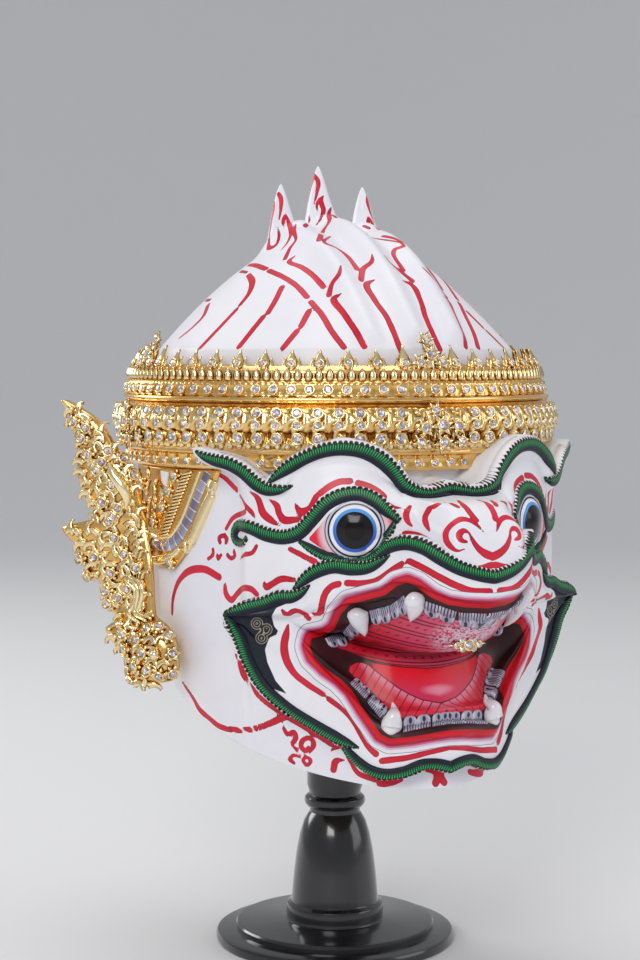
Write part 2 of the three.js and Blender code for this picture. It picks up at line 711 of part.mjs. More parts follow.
function piece(name, shape, finish) {
  const bodies = shape.simplify(FACET_TOLERANCE).decompose().sort((a, b) => b.volume() - a.volume());
  const mesh = bodies[0].getMesh();
  const points = new Float32Array(mesh.numVert * 3);
  for (let i = 0; i < mesh.numVert; i++)
    points.set(mesh.vertProperties.subarray(i * mesh.numProp, i * mesh.numProp + 3), i * 3);
  const geometry = new THREE.BufferGeometry();
  geometry.setAttribute("position", new THREE.BufferAttribute(points, 3));
  geometry.setIndex(new THREE.BufferAttribute(mesh.triVerts, 1));
  geometry.computeVertexNormals();
  const made = new THREE.Mesh(geometry, new THREE.MeshStandardMaterial(FINISHES[finish]));
  made.name = name;
  return made;
}

const mask = new THREE.Group();
const head = union([headBlock(), ...HORNS.map(hornOfHair), ...HORNS.map(crestOfHair)]);
const block = letOut(head);
const lowerBand = diadem(block);
const bandCutter = letOut(lowerBand);

mask.add(piece("display_stand", displayStand(), "blackLacquer"));
mask.add(piece("mask_shell", head.subtract(headRoom()), "whiteGesso"));
mask.add(piece("coronet", coronet(block), "gilding"));
mask.add(piece("diadem", lowerBand, "gilding"));
for (const [side, mirror] of [["right", -1], ["left", 1]]) {
  const panel = earPanel(mirror, block);
  const panelCutter = letOut(panel);
  mask.add(piece("ear_panel_" + side, panel, "gilding"));
  mask.add(piece("ear_wing_" + side, wing(mirror, [block, panelCutter, bandCutter]), "gilding"));
  mask.add(piece("upper_outer_fang_" + side, fang(mirror, UPPER_OUTER_FANG, -1, block), "shell"));
  mask.add(piece("upper_inner_fang_" + side, fang(mirror, UPPER_INNER_FANG, -1, block), "shell"));
  mask.add(piece("lower_fang_" + side, fang(mirror, LOWER_FANG, 1, block), "shell"));
}
mask.add(piece("palate_jewel", palateJewel(block), "gilding"));

export default mask;
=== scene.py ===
# A full-head dance mask of a white monkey warrior: painted papier-mache under two gilded bands,
# with gilded ear pieces, resting on a turned black stand. Lengths are in millimetres until a mesh is made.
import math

import bpy
import numpy as np
from mathutils import Matrix, Vector
from mathutils.bvhtree import BVHTree


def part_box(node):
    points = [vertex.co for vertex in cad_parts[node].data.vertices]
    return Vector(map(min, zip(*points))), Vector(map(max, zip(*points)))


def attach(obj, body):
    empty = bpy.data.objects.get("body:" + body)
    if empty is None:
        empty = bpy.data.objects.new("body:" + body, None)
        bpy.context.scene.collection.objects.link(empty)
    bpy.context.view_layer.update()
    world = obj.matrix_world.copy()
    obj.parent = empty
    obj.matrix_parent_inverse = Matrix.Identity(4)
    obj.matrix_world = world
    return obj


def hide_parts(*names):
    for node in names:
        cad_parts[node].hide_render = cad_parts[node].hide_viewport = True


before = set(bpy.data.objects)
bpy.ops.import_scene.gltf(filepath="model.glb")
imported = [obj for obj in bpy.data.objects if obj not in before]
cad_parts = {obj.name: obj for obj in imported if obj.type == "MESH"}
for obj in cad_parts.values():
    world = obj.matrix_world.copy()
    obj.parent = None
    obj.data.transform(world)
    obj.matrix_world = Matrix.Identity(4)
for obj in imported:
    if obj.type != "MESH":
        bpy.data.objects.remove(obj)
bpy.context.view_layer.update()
bpy.ops.object.select_all(action="DESELECT")
MM = 0.001

# Camera
# The mask is seen from its own right, a little above the middle of the face.
# The same sight lines later carry the painted lines from the picture on to the skin.
VIEW_AZIMUTH = math.radians(-26)
VIEW_DISTANCE = 1100
VIEW_HEIGHT = 327
FOCAL_PIXELS = 2000
AXIS_PIXEL = 335
HORIZON_PIXEL = 350
PICTURE_MIDDLE = (320, 480)
PICTURE_HEIGHT = 960
SENSOR_SIZE = 36
UP = Vector((0, 0, 1))

toward_camera = Vector((math.sin(VIEW_AZIMUTH), -math.cos(VIEW_AZIMUTH), 0))
camera_right = Vector((math.cos(VIEW_AZIMUTH), math.sin(VIEW_AZIMUTH), 0))
camera_place = toward_camera * VIEW_DISTANCE + UP * VIEW_HEIGHT
aim = -toward_camera + camera_right * ((PICTURE_MIDDLE[0] - AXIS_PIXEL) / FOCAL_PIXELS)
aim = (aim + UP * ((HORIZON_PIXEL - PICTURE_MIDDLE[1]) / FOCAL_PIXELS)).normalized()
frame_right = aim.cross(UP).normalized()
frame_up = frame_right.cross(aim)

bpy.ops.object.camera_add(location=camera_place * MM)
camera = bpy.context.object
camera.rotation_euler = Matrix((frame_right, frame_up, -aim)).transposed().to_euler()
camera.data.sensor_width = SENSOR_SIZE
camera.data.lens = SENSOR_SIZE * FOCAL_PIXELS / PICTURE_HEIGHT
camera.data.clip_start = 0.01
bpy.context.scene.camera = camera


def sight_line(x, y):
    ahead = aim * FOCAL_PIXELS + frame_right * (x - PICTURE_MIDDLE[0])
    return (ahead - frame_up * (y - PICTURE_MIDDLE[1])).normalized()


# Studio
# A pale floor that curves up into a wall all round, and soft boxes to the left, to the right, above
# and behind.
FLOOR_COLOUR = (0.80, 0.80, 0.81, 1)
FLOOR_RADIUS = 2.2
SWEEP_RADIUS = 1.6
SWEEP_STEPS = 12
SWEEP_STEP = math.radians(90 / SWEEP_STEPS)
FLOOR_ROUGHNESS = 0.7
ROOM_COLOUR = (0.80, 0.81, 0.84, 1)
ROOM_LIGHT = 0.5
LAMPS_AIM = Vector((0, 0, 0.24))
bpy.ops.mesh.primitive_circle_add(vertices=96, radius=FLOOR_RADIUS, fill_type="NGON", location=(0, 0, 0))
floor = bpy.context.object
floor.name = "studio_floor"
bpy.ops.object.mode_set(mode="EDIT")
bpy.ops.mesh.select_mode(type="EDGE")
bpy.ops.mesh.select_all(action="SELECT")
for step in range(SWEEP_STEPS):
    before, turn = SWEEP_STEP * step, SWEEP_STEP * (step + 1)
    reach, rise = FLOOR_RADIUS + SWEEP_RADIUS * math.sin(turn), SWEEP_RADIUS * (1 - math.cos(turn))
    reach_before = FLOOR_RADIUS + SWEEP_RADIUS * math.sin(before)
    rise_before = SWEEP_RADIUS * (1 - math.cos(before))
    bpy.ops.mesh.extrude_edges_move(TRANSFORM_OT_translate={"value": (0, 0, rise - rise_before)})
    bpy.ops.transform.resize(value=(reach / reach_before, reach / reach_before, 1), center_override=(0, 0, 0))
bpy.ops.mesh.select_all(action="SELECT")
bpy.ops.mesh.normals_make_consistent(inside=True)
bpy.ops.object.mode_set(mode="OBJECT")
bpy.ops.object.shade_smooth_by_angle(angle=math.radians(40))
bpy.context.scene.view_settings.view_transform = "Standard"
sweep = bpy.data.materials.new("pale_floor")
sweep.use_nodes = True
sweep.node_tree.nodes["Principled BSDF"].inputs["Base Color"].default_value = FLOOR_COLOUR
sweep.node_tree.nodes["Principled BSDF"].inputs["Roughness"].default_value = FLOOR_ROUGHNESS
floor.data.materials.append(sweep)

world = bpy.data.worlds.new("studio")
bpy.context.scene.world = world
world.use_nodes = True
world.node_tree.nodes["Background"].inputs["Color"].default_value = ROOM_COLOUR
world.node_tree.nodes["Background"].inputs["Strength"].default_value = ROOM_LIGHT
for name, place, size, watts, tint in [
    ("key", (-1.3, -1.5, 1.3), 0.9, 19, (1, 0.99, 0.97)),
    ("fill", (1.5, -1.2, 0.8), 1.2, 7, (0.97, 0.98, 1)),
    ("top", (0.1, 0.3, 1.9), 1.2, 9, (1, 1, 1)),
    ("rim", (-1.0, 1.5, 0.9), 0.8, 10, (1, 1, 1)),
]:
    lamp = bpy.data.lights.new(name, "AREA")
    lamp.size = size
    lamp.energy = watts
    lamp.color = tint
    light = bpy.data.objects.new(name, lamp)
    bpy.context.collection.objects.link(light)
    light.location = place
    light.rotation_euler = (LAMPS_AIM - light.location).to_track_quat("-Z", "Y").to_euler()


# Display stand
# Turned in one length in hard wood and finished in glossy black lacquer; its cap, inside the crown,
# carries the mask's weight.
STAND_SIDES = 96
CREASE_ANGLE = math.radians(32)
SAME_PLACE = 0.00001
STAND_PROFILE = [
    (0, 0), (64.5, 0), (65.6, 0.6), (66, 1.6), (66, 4), (65.3, 5.4), (63.6, 6), (56, 6), (55, 6.4),
    (55, 9.2), (54.2, 10.2), (53, 10.5), (28.6, 11), (27.2, 11.4), (26.8, 12.6), (27, 14), (27, 18.6),
    (26.6, 19.8), (25.4, 20.5), (24.4, 21.2), (24, 22.6), (23.6, 28), (22.7, 38), (21.3, 49), (19.4, 59),
    (17, 66.4), (14.8, 70), (14, 71.2), (14, 73.5), (15.4, 74.3), (16.6, 75.9), (17, 77.5), (16.6, 79.3),
    (15.4, 80.5), (14.2, 81.1), (14.6, 83.5), (15.5, 86.5), (15.5, 330), (40, 346), (48, 350.5), (36, 364),
    (18, 374), (0, 378),
]


def edit_whole(piece):
    """Edit mode on this piece alone, with all of it selected."""
    bpy.ops.object.select_all(action="DESELECT")
    bpy.context.view_layer.objects.active = piece
    piece.select_set(True)
    bpy.ops.object.mode_set(mode="EDIT")
    bpy.ops.mesh.select_all(action="SELECT")


def spun(name, profile, steps):
    """A piece turned about the upright axis from its half section, in mm."""
    mesh = bpy.data.meshes.new(name)
    mesh.from_pydata([(r * MM, 0, z * MM) for r, z in profile],
                     [(i, i + 1) for i in range(len(profile) - 1)], [])
    made = bpy.data.objects.new(name, mesh)
    bpy.context.collection.objects.link(made)
    edit_whole(made)
    bpy.ops.mesh.spin(steps=steps, angle=2 * math.pi, center=(0, 0, 0), axis=(0, 0, 1))
    bpy.ops.mesh.select_all(action="SELECT")
    bpy.ops.mesh.remove_doubles(threshold=SAME_PLACE)
    bpy.ops.mesh.normals_make_consistent(inside=False)
    bpy.ops.object.mode_set(mode="OBJECT")
    bpy.ops.object.shade_smooth_by_angle(angle=CREASE_ANGLE)
    return made


def plain_material(name, colour, roughness, **sockets):
    """A material whose nodes are then added to; the plain values stand on the shader's own sockets."""
    made = bpy.data.materials.new(name)
    made.use_nodes = True
    shader = made.node_tree.nodes["Principled BSDF"]
    shader.inputs["Base Color"].default_value = (*colour, 1)
    shader.inputs["Roughness"].default_value = roughness
    for socket, value in sockets.items():
        shader.inputs[socket.replace("_", " ")].default_value = value
    return made


class Nodes:
    """Short words for adding and joining shader nodes."""

    def __init__(self, owner):
        self.tree = getattr(owner, "node_tree", owner)
        self.shader = self.tree.nodes.get("Principled BSDF")

    def feed(self, socket, value):
        if isinstance(value, bpy.types.NodeSocket):
            self.tree.links.new(value, socket)
        else:
            socket.default_value = value

    def add(self, kind, **inputs):
        node = self.tree.nodes.new("ShaderNode" + kind)
        for name, value in inputs.items():
            self.feed(node.inputs[name.replace("_", " ")], value)
        return node

    def math(self, operation, *values, clamp=False):
        node = self.add("Math")
        node.operation = operation
        node.use_clamp = clamp
        for socket, value in zip(node.inputs, values):
            self.feed(socket, value)
        return node.outputs[0]

    def plus(self, a, b):
        return self.math("ADD", a, b)

    def minus(self, a, b):
        return self.math("SUBTRACT", a, b)

    def times(self, a, b):
        return self.math("MULTIPLY", a, b)

    def over(self, a, b):
        return self.math("DIVIDE", a, b)

    def spread(self, value, size, start):
        """The value times a size, from a start."""
        return self.math("MULTIPLY_ADD", value, size, start)

    def off_middle(self, value):
        """How far a value lies from the middle of its own whole step: 0 there, 0.5 at the step's ends."""
        return self.math("ABSOLUTE", self.minus(self.math("FRACT", value), 0.5))

    def squares(self, a, b):
        return self.plus(self.times(a, a), self.times(b, b))

    def blend(self, factor, a, b):
        """From colour a to colour b; 0, 6 and 7 are the factor and the colours of a Mix node."""
        node = self.add("Mix")
        node.data_type = "RGBA"
        for place, value in ((0, factor), (6, a), (7, b)):
            self.feed(node.inputs[place], (*value, 1) if isinstance(value, tuple) else value)
        return node.outputs[2]

    def step(self, value, edge, soft):
        """0 below the edge, 1 above it, with a soft change in width soft."""
        node = self.add("MapRange", Value=value, From_Min=edge - soft, From_Max=edge + soft)
        node.interpolation_type = "SMOOTHSTEP"
        return node.outputs[0]

    def under(self, value, edge, soft):
        return self.minus(1.0, self.step(value, edge, soft))

    def named(self, attribute):
        node = self.add("Attribute")
        node.attribute_name = attribute
        return node.outputs["Fac"]

    def place(self):
        return self.add("TexCoord").outputs["Object"]

    def noise(self, scale, detail=3.0, roughness=0.5, vector=None):
        node = self.add("TexNoise", Scale=scale, Detail=detail, Roughness=roughness)
        self.tree.links.new(vector or self.place(), node.inputs["Vector"])
        return node.outputs["Fac"]

    def bump(self, height, strength, distance):
        node = self.add("Bump", Height=height, Strength=strength, Distance=distance)
        self.tree.links.new(node.outputs[0], self.shader.inputs["Normal"])

    def colour(self, value):
        self.tree.links.new(value, self.shader.inputs["Base Color"])

    def roughness(self, value):
        self.tree.links.new(value, self.shader.inputs["Roughness"])


lacquer = plain_material("black_lacquer", (0.006, 0.006, 0.008), 0.2, Coat_Weight=0.6, Coat_Roughness=0.08)
work = Nodes(lacquer)
grain = work.noise(38.0, 5.0, 0.6)
dust = work.noise(9.0, 4.0)
work.colour(work.blend(work.step(dust, 0.6, 0.2), (0.005, 0.005, 0.007), (0.012, 0.012, 0.015)))
work.roughness(work.spread(dust, 0.16, 0.13))
work.bump(grain, 0.05, 0.0005)

stand = spun("stand", STAND_PROFILE, STAND_SIDES)
stand.data.materials.append(lacquer)
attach(stand, "root")
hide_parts("display_stand")


# Head
# One papier-mache shell from the jaw to under the gilt bands, 4 mm thick, its muzzle, lips, cheeks and brow
# pressed in the mould; gessoed white, painted, varnished, and left bare paper inside.
# Directions are in degrees from the nose, the same on both sides.
WALL = 4
DOME_FOOT = 327
DOME_RISE = 66
DOME_HALF_WIDTH = 96
DOME_HALF_LENGTH = 99
DOME_POWER = 1.75
RIM_FRONT = 108
RIM_BACK = 192
BARREL_RADIUS = 107
HEM_TUCK_HEIGHT = 55
MOUTH_CORNER = 37
MUZZLE_EDGE = 51
BROW_TIP = 59.7
STEP_WIDTH = 1.3
EYE = {"angle": 21.5, "z": 240, "half_angle": 8, "half_height": 13, "rise": 4}


def slopes(xs, ys):
    """Slopes that let a curve pass through its stations without overshoot."""
    step = np.diff(xs) if xs.ndim == 1 else np.diff(xs, axis=0)
    step = step if ys.ndim == 1 else step[:, None]
    rise = np.diff(ys, axis=0) / step
    found = np.zeros_like(ys)
    same = rise[:-1] * rise[1:] > 0
    mean = 2 * rise[:-1] * rise[1:] / np.where(same, rise[:-1] + rise[1:], 1)
    found[1:-1] = np.where(same, mean, 0)
    found[-1] = rise[-1]
    return found, step


def between(t, y0, y1, m0, m1, step):
    return ((1 + 2 * t) * (1 - t) ** 2 * y0 + t * (1 - t) ** 2 * step * m0
            + t * t * (3 - 2 * t) * y1 + t * t * (t - 1) * step * m1)


def through(stations):
    xs, ys = np.array(stations, float).T
    slope, step = slopes(xs, ys)

    def at(x):
        x = np.clip(np.asarray(x, float), xs[0], xs[-1])
        i = np.clip(np.searchsorted(xs, x, "right") - 1, 0, len(xs) - 2)
        return between((x - xs[i]) / step[i], ys[i], ys[i + 1], slope[i], slope[i + 1], step[i])

    return at


brow_top = through([
    (0, 263), (3.5, 260.5), (8, 261), (10.5, 264.5), (12.5, 271), (16, 278), (20, 282.5), (24, 284),
    (29, 281.5), (33, 277.5), (37, 272.5), (41, 265), (42.5, 262.5), (44, 265), (47, 271), (51, 275),
    (BROW_TIP, 278.5)])
brow_foot = through([
    (0, 256.5), (5.6, 255.5), (9, 256), (11.5, 258.5), (13.5, 264.5), (16, 269), (19, 273.5), (24, 276),
    (28, 275.5), (32.5, 272), (36, 266), (38, 258), (41, 255.5), (44.5, 258), (47, 263.5), (51, 268),
    (57, 271), (BROW_TIP, 275)])
moustache_top = through([
    (0, 221), (3, 223.5), (6, 227), (8.5, 232), (11, 236.5), (13.5, 238), (16, 235), (18, 230), (20, 226),
    (22.5, 224), (26.5, 225.5), (30.5, 222), (33, 217), (35.5, 210.5), (39, 208.5), (43, 205.5), (47, 203),
    (MUZZLE_EDGE, 199)])
moustache_foot = through([
    (0, 214), (5, 218.5), (8.5, 224), (11, 229), (14, 231), (17, 226), (19.5, 220), (23, 217.5),
    (26.5, 217.5), (30, 212.5), (33, 206), (37, 202), (42, 199.5), (47, 198), (MUZZLE_EDGE, 196.5)])
mouth_top = through([
    (0, 207), (4, 208), (8, 211), (11, 215), (14, 216), (18.5, 211.5), (24, 208), (27, 203), (31, 199),
    (MOUTH_CORNER, 194.5), (MUZZLE_EDGE, 195.6)])
mouth_foot = through([
    (0, 141), (5, 140.5), (12, 139), (16, 143.5), (22, 156), (29, 170), (34, 182), (MOUTH_CORNER, 191.5),
    (MUZZLE_EDGE, 194.8)])
beard_top = through([
    (0, 125), (6, 128), (10.5, 124), (15, 123), (19.5, 128), (23, 134), (25.5, 140), (31, 146.5), (38, 157),
    (43, 167), (45.5, 177), (47.5, 187), (MUZZLE_EDGE, 194)])
beard_foot = through([
    (0, 117), (5, 120), (10.5, 115.5), (15, 114.5), (19, 119), (23, 126), (26, 132), (31, 138), (38, 147.5),
    (44, 157.5), (46.7, 169), (48.7, 183), (MUZZLE_EDGE, 192.5)])
brow_reach = through([
    (0, 131), (5.6, 133), (9, 134), (13, 132), (25, 128), (41, 126), (50, 126.5), (BROW_TIP, 128)])
upper_lip_reach = through([
    (0, 172.5), (8.5, 165), (14, 150.5), (18, 141.5), (23, 134.5), (29, 129), (34, 126), (41, 126.5),
    (47, 130), (MUZZLE_EDGE, 133)])
upper_mouth_reach = through([
    (0, 171), (8.5, 163), (14, 149), (18, 140), (23, 133), (29, 127), (34, 122.5), (MOUTH_CORNER, 120.5),
    (45, 126), (MUZZLE_EDGE, 131)])
lower_lip_reach = through([
    (0, 131), (11, 129), (19, 122), (26, 119.5), (34, 118), (MOUTH_CORNER, 120), (45, 125),
    (MUZZLE_EDGE, 131)])
beard_reach = through([
    (0, 130), (11, 126), (19, 121), (25, 118), (35, 117), (44, 119.5), (48, 124), (MUZZLE_EDGE, 130.5)])
rim_reach = through([
    (0, 121), (11, 118), (19, 112), (25, 108), (35, 104), (50, 101.5), (66, 99), (90, 96), (180, 93)])
cheek_reach = through([
    (0, 150), (8, 148), (14, 138), (17, 133.5), (21.5, 131), (30, 128), (38, 124.5), (47, 121), (51, 113),
    (56, 109), (66, BARREL_RADIUS + 0.5), (90, BARREL_RADIUS)])
nose_reach = through([
    (218, 173), (224, 171.5), (232, 171), (239, 169), (245, 166), (250, 159), (255, 149), (258, 140)])
nose_half_angle = through([(218, 10), (232, 9.5), (240, 9.5), (246, 8), (256, 7)])

# Lower gum, tongue, palate and upper gum: share of the mouth's height, share of the way forward from the
# lower lip to the upper, and depth behind the lip; the last number is how many rows of faces follow
MOUTH_HOLLOW = [
    (0.02, 0, 4.5, 7), (0.12, 0, 4, 3), (0.14, 0, 9, 7), (0.3, 0, 14, 7), (0.46, 0, 20, 4), (0.5, 0, 25, 10),
    (0.56, 0.35, 15, 8), (0.64, 0.62, 12, 7), (0.77, 0.85, 10, 6), (0.88, 1, 8, 3), (0.9, 1, 4.5, 6),
    (0.985, 1, 4, 2)]
CHEEK_ROWS = [(0, 6), (0.15, 9), (0.35, 9), (0.55, 9), (0.75, 8), (0.92, 4)]
BAND_ROWS = [(0, 4), (0.3, 4), (0.65, 0)]


def mix(a, b, t):
    return a + (b - a) * t


def ease(x, low, high):
    t = np.clip((x - low) / (high - low), 0, 1)
    return t * t * (3 - 2 * t)


def rim_height(angle):
    return RIM_FRONT + (RIM_BACK - RIM_FRONT) * (1 - np.cos(np.radians(angle))) / 2


def dome_reach(angle):
    turn = np.radians(angle)
    return 1 / np.hypot(np.sin(turn) / DOME_HALF_WIDTH, np.cos(turn) / DOME_HALF_LENGTH)


def bare_reach(angle, z):
    above = np.clip((z - rim_height(angle)) / HEM_TUCK_HEIGHT, 0, 1)
    side = mix(rim_reach(angle), np.minimum(cheek_reach(angle), 112), 1 - (1 - above) ** 2)
    middle = mix(side, cheek_reach(angle), ease(z, 175, 205))
    return mix(middle, dome_reach(angle), ease(z, 272, DOME_FOOT - 7))


def face_rows(angle):
    """Key rows of the face at these directions: heights, reaches and the rows of faces after each."""
    heights, reaches, counts = [], [], []
    on_muzzle = 1 - np.clip((angle - MUZZLE_EDGE) / STEP_WIDTH, 0, 1)
    on_brow = 1 - np.clip((angle - BROW_TIP) / STEP_WIDTH, 0, 1)

    def row(z, reach, count, on=None):
        heights.append(z)
        reaches.append(reach if on is None else mix(bare_reach(angle, z), reach, on))
        counts.append(count)

    foot, top = beard_foot(angle), beard_top(angle)
    jaw, lip = beard_reach(angle), lower_lip_reach(angle)
    low, high = mouth_foot(angle), mouth_top(angle)
    row(rim_height(angle), rim_reach(angle), 20)
    row(foot - 0.6, bare_reach(angle, foot), 2)
    row(foot, jaw, 8, on_muzzle)
    row(top, jaw + 1, 7, on_muzzle)
    row(mix(top, low, 0.4), mix(jaw, lip, 0.5) - 1, 6, on_muzzle)
    row(mix(top, low, 0.75), lip + 1.5 * (1 - ease(angle, 30, MOUTH_CORNER)), 5, on_muzzle)
    row(low, lip, 2, on_muzzle)
    still_open = 1 - ease(angle, 22, MOUTH_CORNER)
    for share, forward, depth, count in MOUTH_HOLLOW:
        edge = mix(lip, upper_mouth_reach(angle), forward)
        row(mix(low, high, share), edge - depth * still_open, count, on_muzzle)
    row(high, upper_mouth_reach(angle), 4, on_muzzle)
    row(mix(high, moustache_foot(angle), 0.5), upper_lip_reach(angle) + 1, 4, on_muzzle)
    row(moustache_foot(angle), upper_lip_reach(angle) + 0.5, 8, on_muzzle)
    row(moustache_top(angle), upper_lip_reach(angle), 2, on_muzzle)
    for share, count in CHEEK_ROWS:
        z = mix(moustache_top(angle) + 0.6, brow_foot(angle), share)
        under_brow = ease(share, mix(0.6, 0.93, ease(angle, 44, 53)), 1) * ease(angle, 8, 14)
        face = mix(cheek_reach(angle), brow_reach(angle) - 3, under_brow)
        width = nose_half_angle(z)
        nose = mix(nose_reach(z), face, ease(angle, 0.55 * width, 1.3 * width))
        from_eye = np.hypot((angle - EYE["angle"]) / EYE["half_angle"], (z - EYE["z"]) / EYE["half_height"])
        row(z, nose + EYE["rise"] * np.exp(-(from_eye ** 2)), count, on_brow)
    row(brow_foot(angle), brow_reach(angle) - 1, 8, on_brow)
    row(brow_top(angle), brow_reach(angle), 2, on_brow)
    for share, count in BAND_ROWS:
        z = mix(brow_top(angle) + 0.6, DOME_FOOT, share)
        side = bare_reach(90.0, z) + (bare_reach(0.0, DOME_FOOT) - bare_reach(90.0, DOME_FOOT)) * share
        row(z, side, count)
    heights, reaches = np.array(heights), np.array(reaches)
    relax = ease(angle, BROW_TIP + STEP_WIDTH, 90)
    rows_below = np.concatenate([[0], np.cumsum(counts[:-1])])
    evenly = mix(rim_height(angle), 290, (rows_below / rows_below[-1])[:, None])
    heights = mix(heights, evenly, relax)
    return heights, mix(reaches, bare_reach(angle, heights), ease(relax, 0, 0.2)), counts[:-1]


def dense(rows, counts):
    """The rows with smooth rows of points between them."""
    place = np.arange(len(rows), dtype=float)
    slope, _ = slopes(place, rows)
    made = [between(k / n, rows[i], rows[i + 1], slope[i], slope[i + 1], 1)
            for i, n in enumerate(counts) for k in range(n)]
    return np.array(made + [rows[-1]])


def new_piece(name, points, faces, smooth=True):
    """A mesh object at the origin from points in mm."""
    mesh = bpy.data.meshes.new(name)
    points = np.asarray(points, float) * MM
    sizes = [len(f) for f in faces] if not isinstance(faces, np.ndarray) else None
    if sizes is None:
        mesh.vertices.add(len(points))
        mesh.vertices.foreach_set("co", points.ravel())
        count, size = faces.shape
        mesh.loops.add(count * size)
        mesh.loops.foreach_set("vertex_index", faces.ravel())
        mesh.polygons.add(count)
        mesh.polygons.foreach_set("loop_start", np.arange(0, count * size, size))
        mesh.update(calc_edges=True)
        mesh.validate()
    else:
        mesh.from_pydata([tuple(p) for p in points], [], faces)
    mesh.polygons.foreach_set("use_smooth", [smooth] * len(mesh.polygons))
    made = bpy.data.objects.new(name, mesh)
    bpy.context.collection.objects.link(made)
    return made


def grid_faces(rows, sides, closed):
    """Faces between rows of points, each row a loop; closed joins the last row to the first as well."""
    row, side = np.meshgrid(np.arange(rows if closed else rows - 1), np.arange(sides), indexing="ij")
    above, beside = (row + 1) % rows, (side + 1) % sides
    return np.stack([row * sides + side, row * sides + beside, above * sides + beside,
                     above * sides + side], axis=-1).reshape(-1, 4)


def apart(a, b):
    """Degrees between directions."""
    return np.abs((a - b + 180) % 360 - 180)


def turn_outwards(piece):
    edit_whole(piece)
    bpy.ops.mesh.normals_make_consistent(inside=False)
    bpy.ops.object.mode_set(mode="OBJECT")


def attribute(piece, name, values):
    made = piece.data.attributes.new(name, "FLOAT", "POINT")
    made.data.foreach_set("value", np.asarray(values, np.float32))


face_angles = np.concatenate([np.arange(-65.94, 65.95, 0.42), np.linspace(66, 112, 54)[1:],
                              np.linspace(112, 248, 34)[1:-1], np.linspace(248, 294, 54)[:-1]])
face_angles = np.where(face_angles > 180, face_angles - 360, face_angles)
key_heights, key_reaches, counts = face_rows(np.abs(face_angles))
heights, reaches = dense(key_heights, counts), dense(key_reaches, counts)
columns = len(face_angles)
ROWS_OUT = len(heights)

# The bare inner wall, set in from the deepest skin near each place
INNER_ROWS = 14
INNER_SPREAD = 9  # degrees to each side
FAR = 1e9
inner_share = np.linspace(1, 0, INNER_ROWS)[:, None]
inner_heights = mix(heights[0] + 0.2, heights[-1], inner_share)
inner_gap = (inner_heights[:-1] - inner_heights[1:]).max()
deepest = np.empty_like(inner_heights)
for row in range(INNER_ROWS):
    close = np.abs(heights - inner_heights[row]) < inner_gap
    near = np.where(close, reaches, FAR).min(axis=0)
    deepest[row] = [near[apart(face_angles, a) < INNER_SPREAD].min() for a in face_angles]
inner_reaches = deepest - WALL
inner_reaches = np.minimum(inner_reaches, reaches[0] - WALL + (inner_heights - heights[0]) * 1.5)

all_heights = np.vstack([heights, inner_heights])
all_reaches = np.vstack([reaches, inner_reaches])
turn = np.radians(face_angles)
head_points = np.stack([all_reaches * np.sin(turn), -all_reaches * np.cos(turn), all_heights],
                       axis=-1).reshape(-1, 3)
total = len(all_heights)
head_faces = grid_faces(total, columns, closed=True)
head = new_piece("painted_head", head_points, head_faces)
turn_outwards(head)
skin_tree = BVHTree.FromPolygons([tuple(p) for p in head_points[:ROWS_OUT * columns]],
                                 head_faces[:(ROWS_OUT - 1) * columns].tolist())
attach(head, "root")
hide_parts("mask_shell")


# Crown of the head, with three horns of hair
# The dome of the same shell; each horn is a cone of paste and cord at the back of a long crest that runs
# forward to the gilt bands, gessoed and painted with the rest.
HORN_HEIGHT = 46
CREST_RADIUS = 8
CREST_RISE = 6
HORNS = [(0, 21.7, 429), (-25, 16.7, 418), (25, 16.7, 418)]


def dome_height(x, y):
    out = np.minimum(1, np.hypot(x / DOME_HALF_WIDTH, y / DOME_HALF_LENGTH))
    return DOME_FOOT + DOME_RISE * (1 - out ** DOME_POWER)


def crest_height(x, y):
    """How far the crests stand over the bare dome here."""
    proud = np.zeros_like(x)
    for centre, back, _ in HORNS:
        front = -DOME_HALF_LENGTH * math.sqrt(1 - (centre / DOME_HALF_WIDTH) ** 2) * 0.97
        along = np.clip((y - back) / (front - back), 0, 1)
        half = CREST_RADIUS * mix(1.3, 0.8, along)
        across = np.abs(x - centre) / half
        ridge = CREST_RISE * (1 - ease(across, 0.0, 1.45)) * ease(back + 12 - y, 0, 10)
        flare = 9.5 * np.exp(-(np.hypot(x - centre, y - back + 8.5) / 13.5) ** 4)
        proud = np.maximum(proud, np.maximum(ridge, flare))
    return proud


SIDES_ROUND = 420
SKIRT_FOOT = 296.0
rings = np.concatenate([np.linspace(1, 0.12, 88), np.linspace(0.12, 0.002, 8)[1:]])
spoke = np.linspace(0, 2 * math.pi, SIDES_ROUND, endpoint=False)
ring_grid, spoke_grid = np.meshgrid(rings, spoke, indexing="ij")
dome_x = DOME_HALF_WIDTH * ring_grid * np.sin(spoke_grid)
dome_y = -DOME_HALF_LENGTH * ring_grid * np.cos(spoke_grid)
dome_z = dome_height(dome_x, dome_y)
dome_z = dome_z + crest_height(dome_x, dome_y) * ease(1 - ring_grid, 0.0, 0.05)
outer = np.stack([dome_x, dome_y, dome_z], axis=-1)
skirt = outer[0] * np.array([1, 1, 0]) + np.array([0, 0, SKIRT_FOOT])
under_share = np.linspace(1, 0.02, 14)[:, None]
under_x = (DOME_HALF_WIDTH - WALL) * under_share * np.sin(spoke)
under_y = -(DOME_HALF_LENGTH - WALL) * under_share * np.cos(spoke)
under_z = dome_height(under_x, under_y) - WALL * 1.3
under_skirt = np.stack([under_x[0], under_y[0], np.full(SIDES_ROUND, SKIRT_FOOT)], axis=-1)
shell_rings = np.vstack([np.stack([under_x, under_y, under_z], axis=-1)[::-1].reshape(-1, 3), under_skirt,
                         skirt, outer.reshape(-1, 3)])
ring_total = len(shell_rings) // SIDES_ROUND


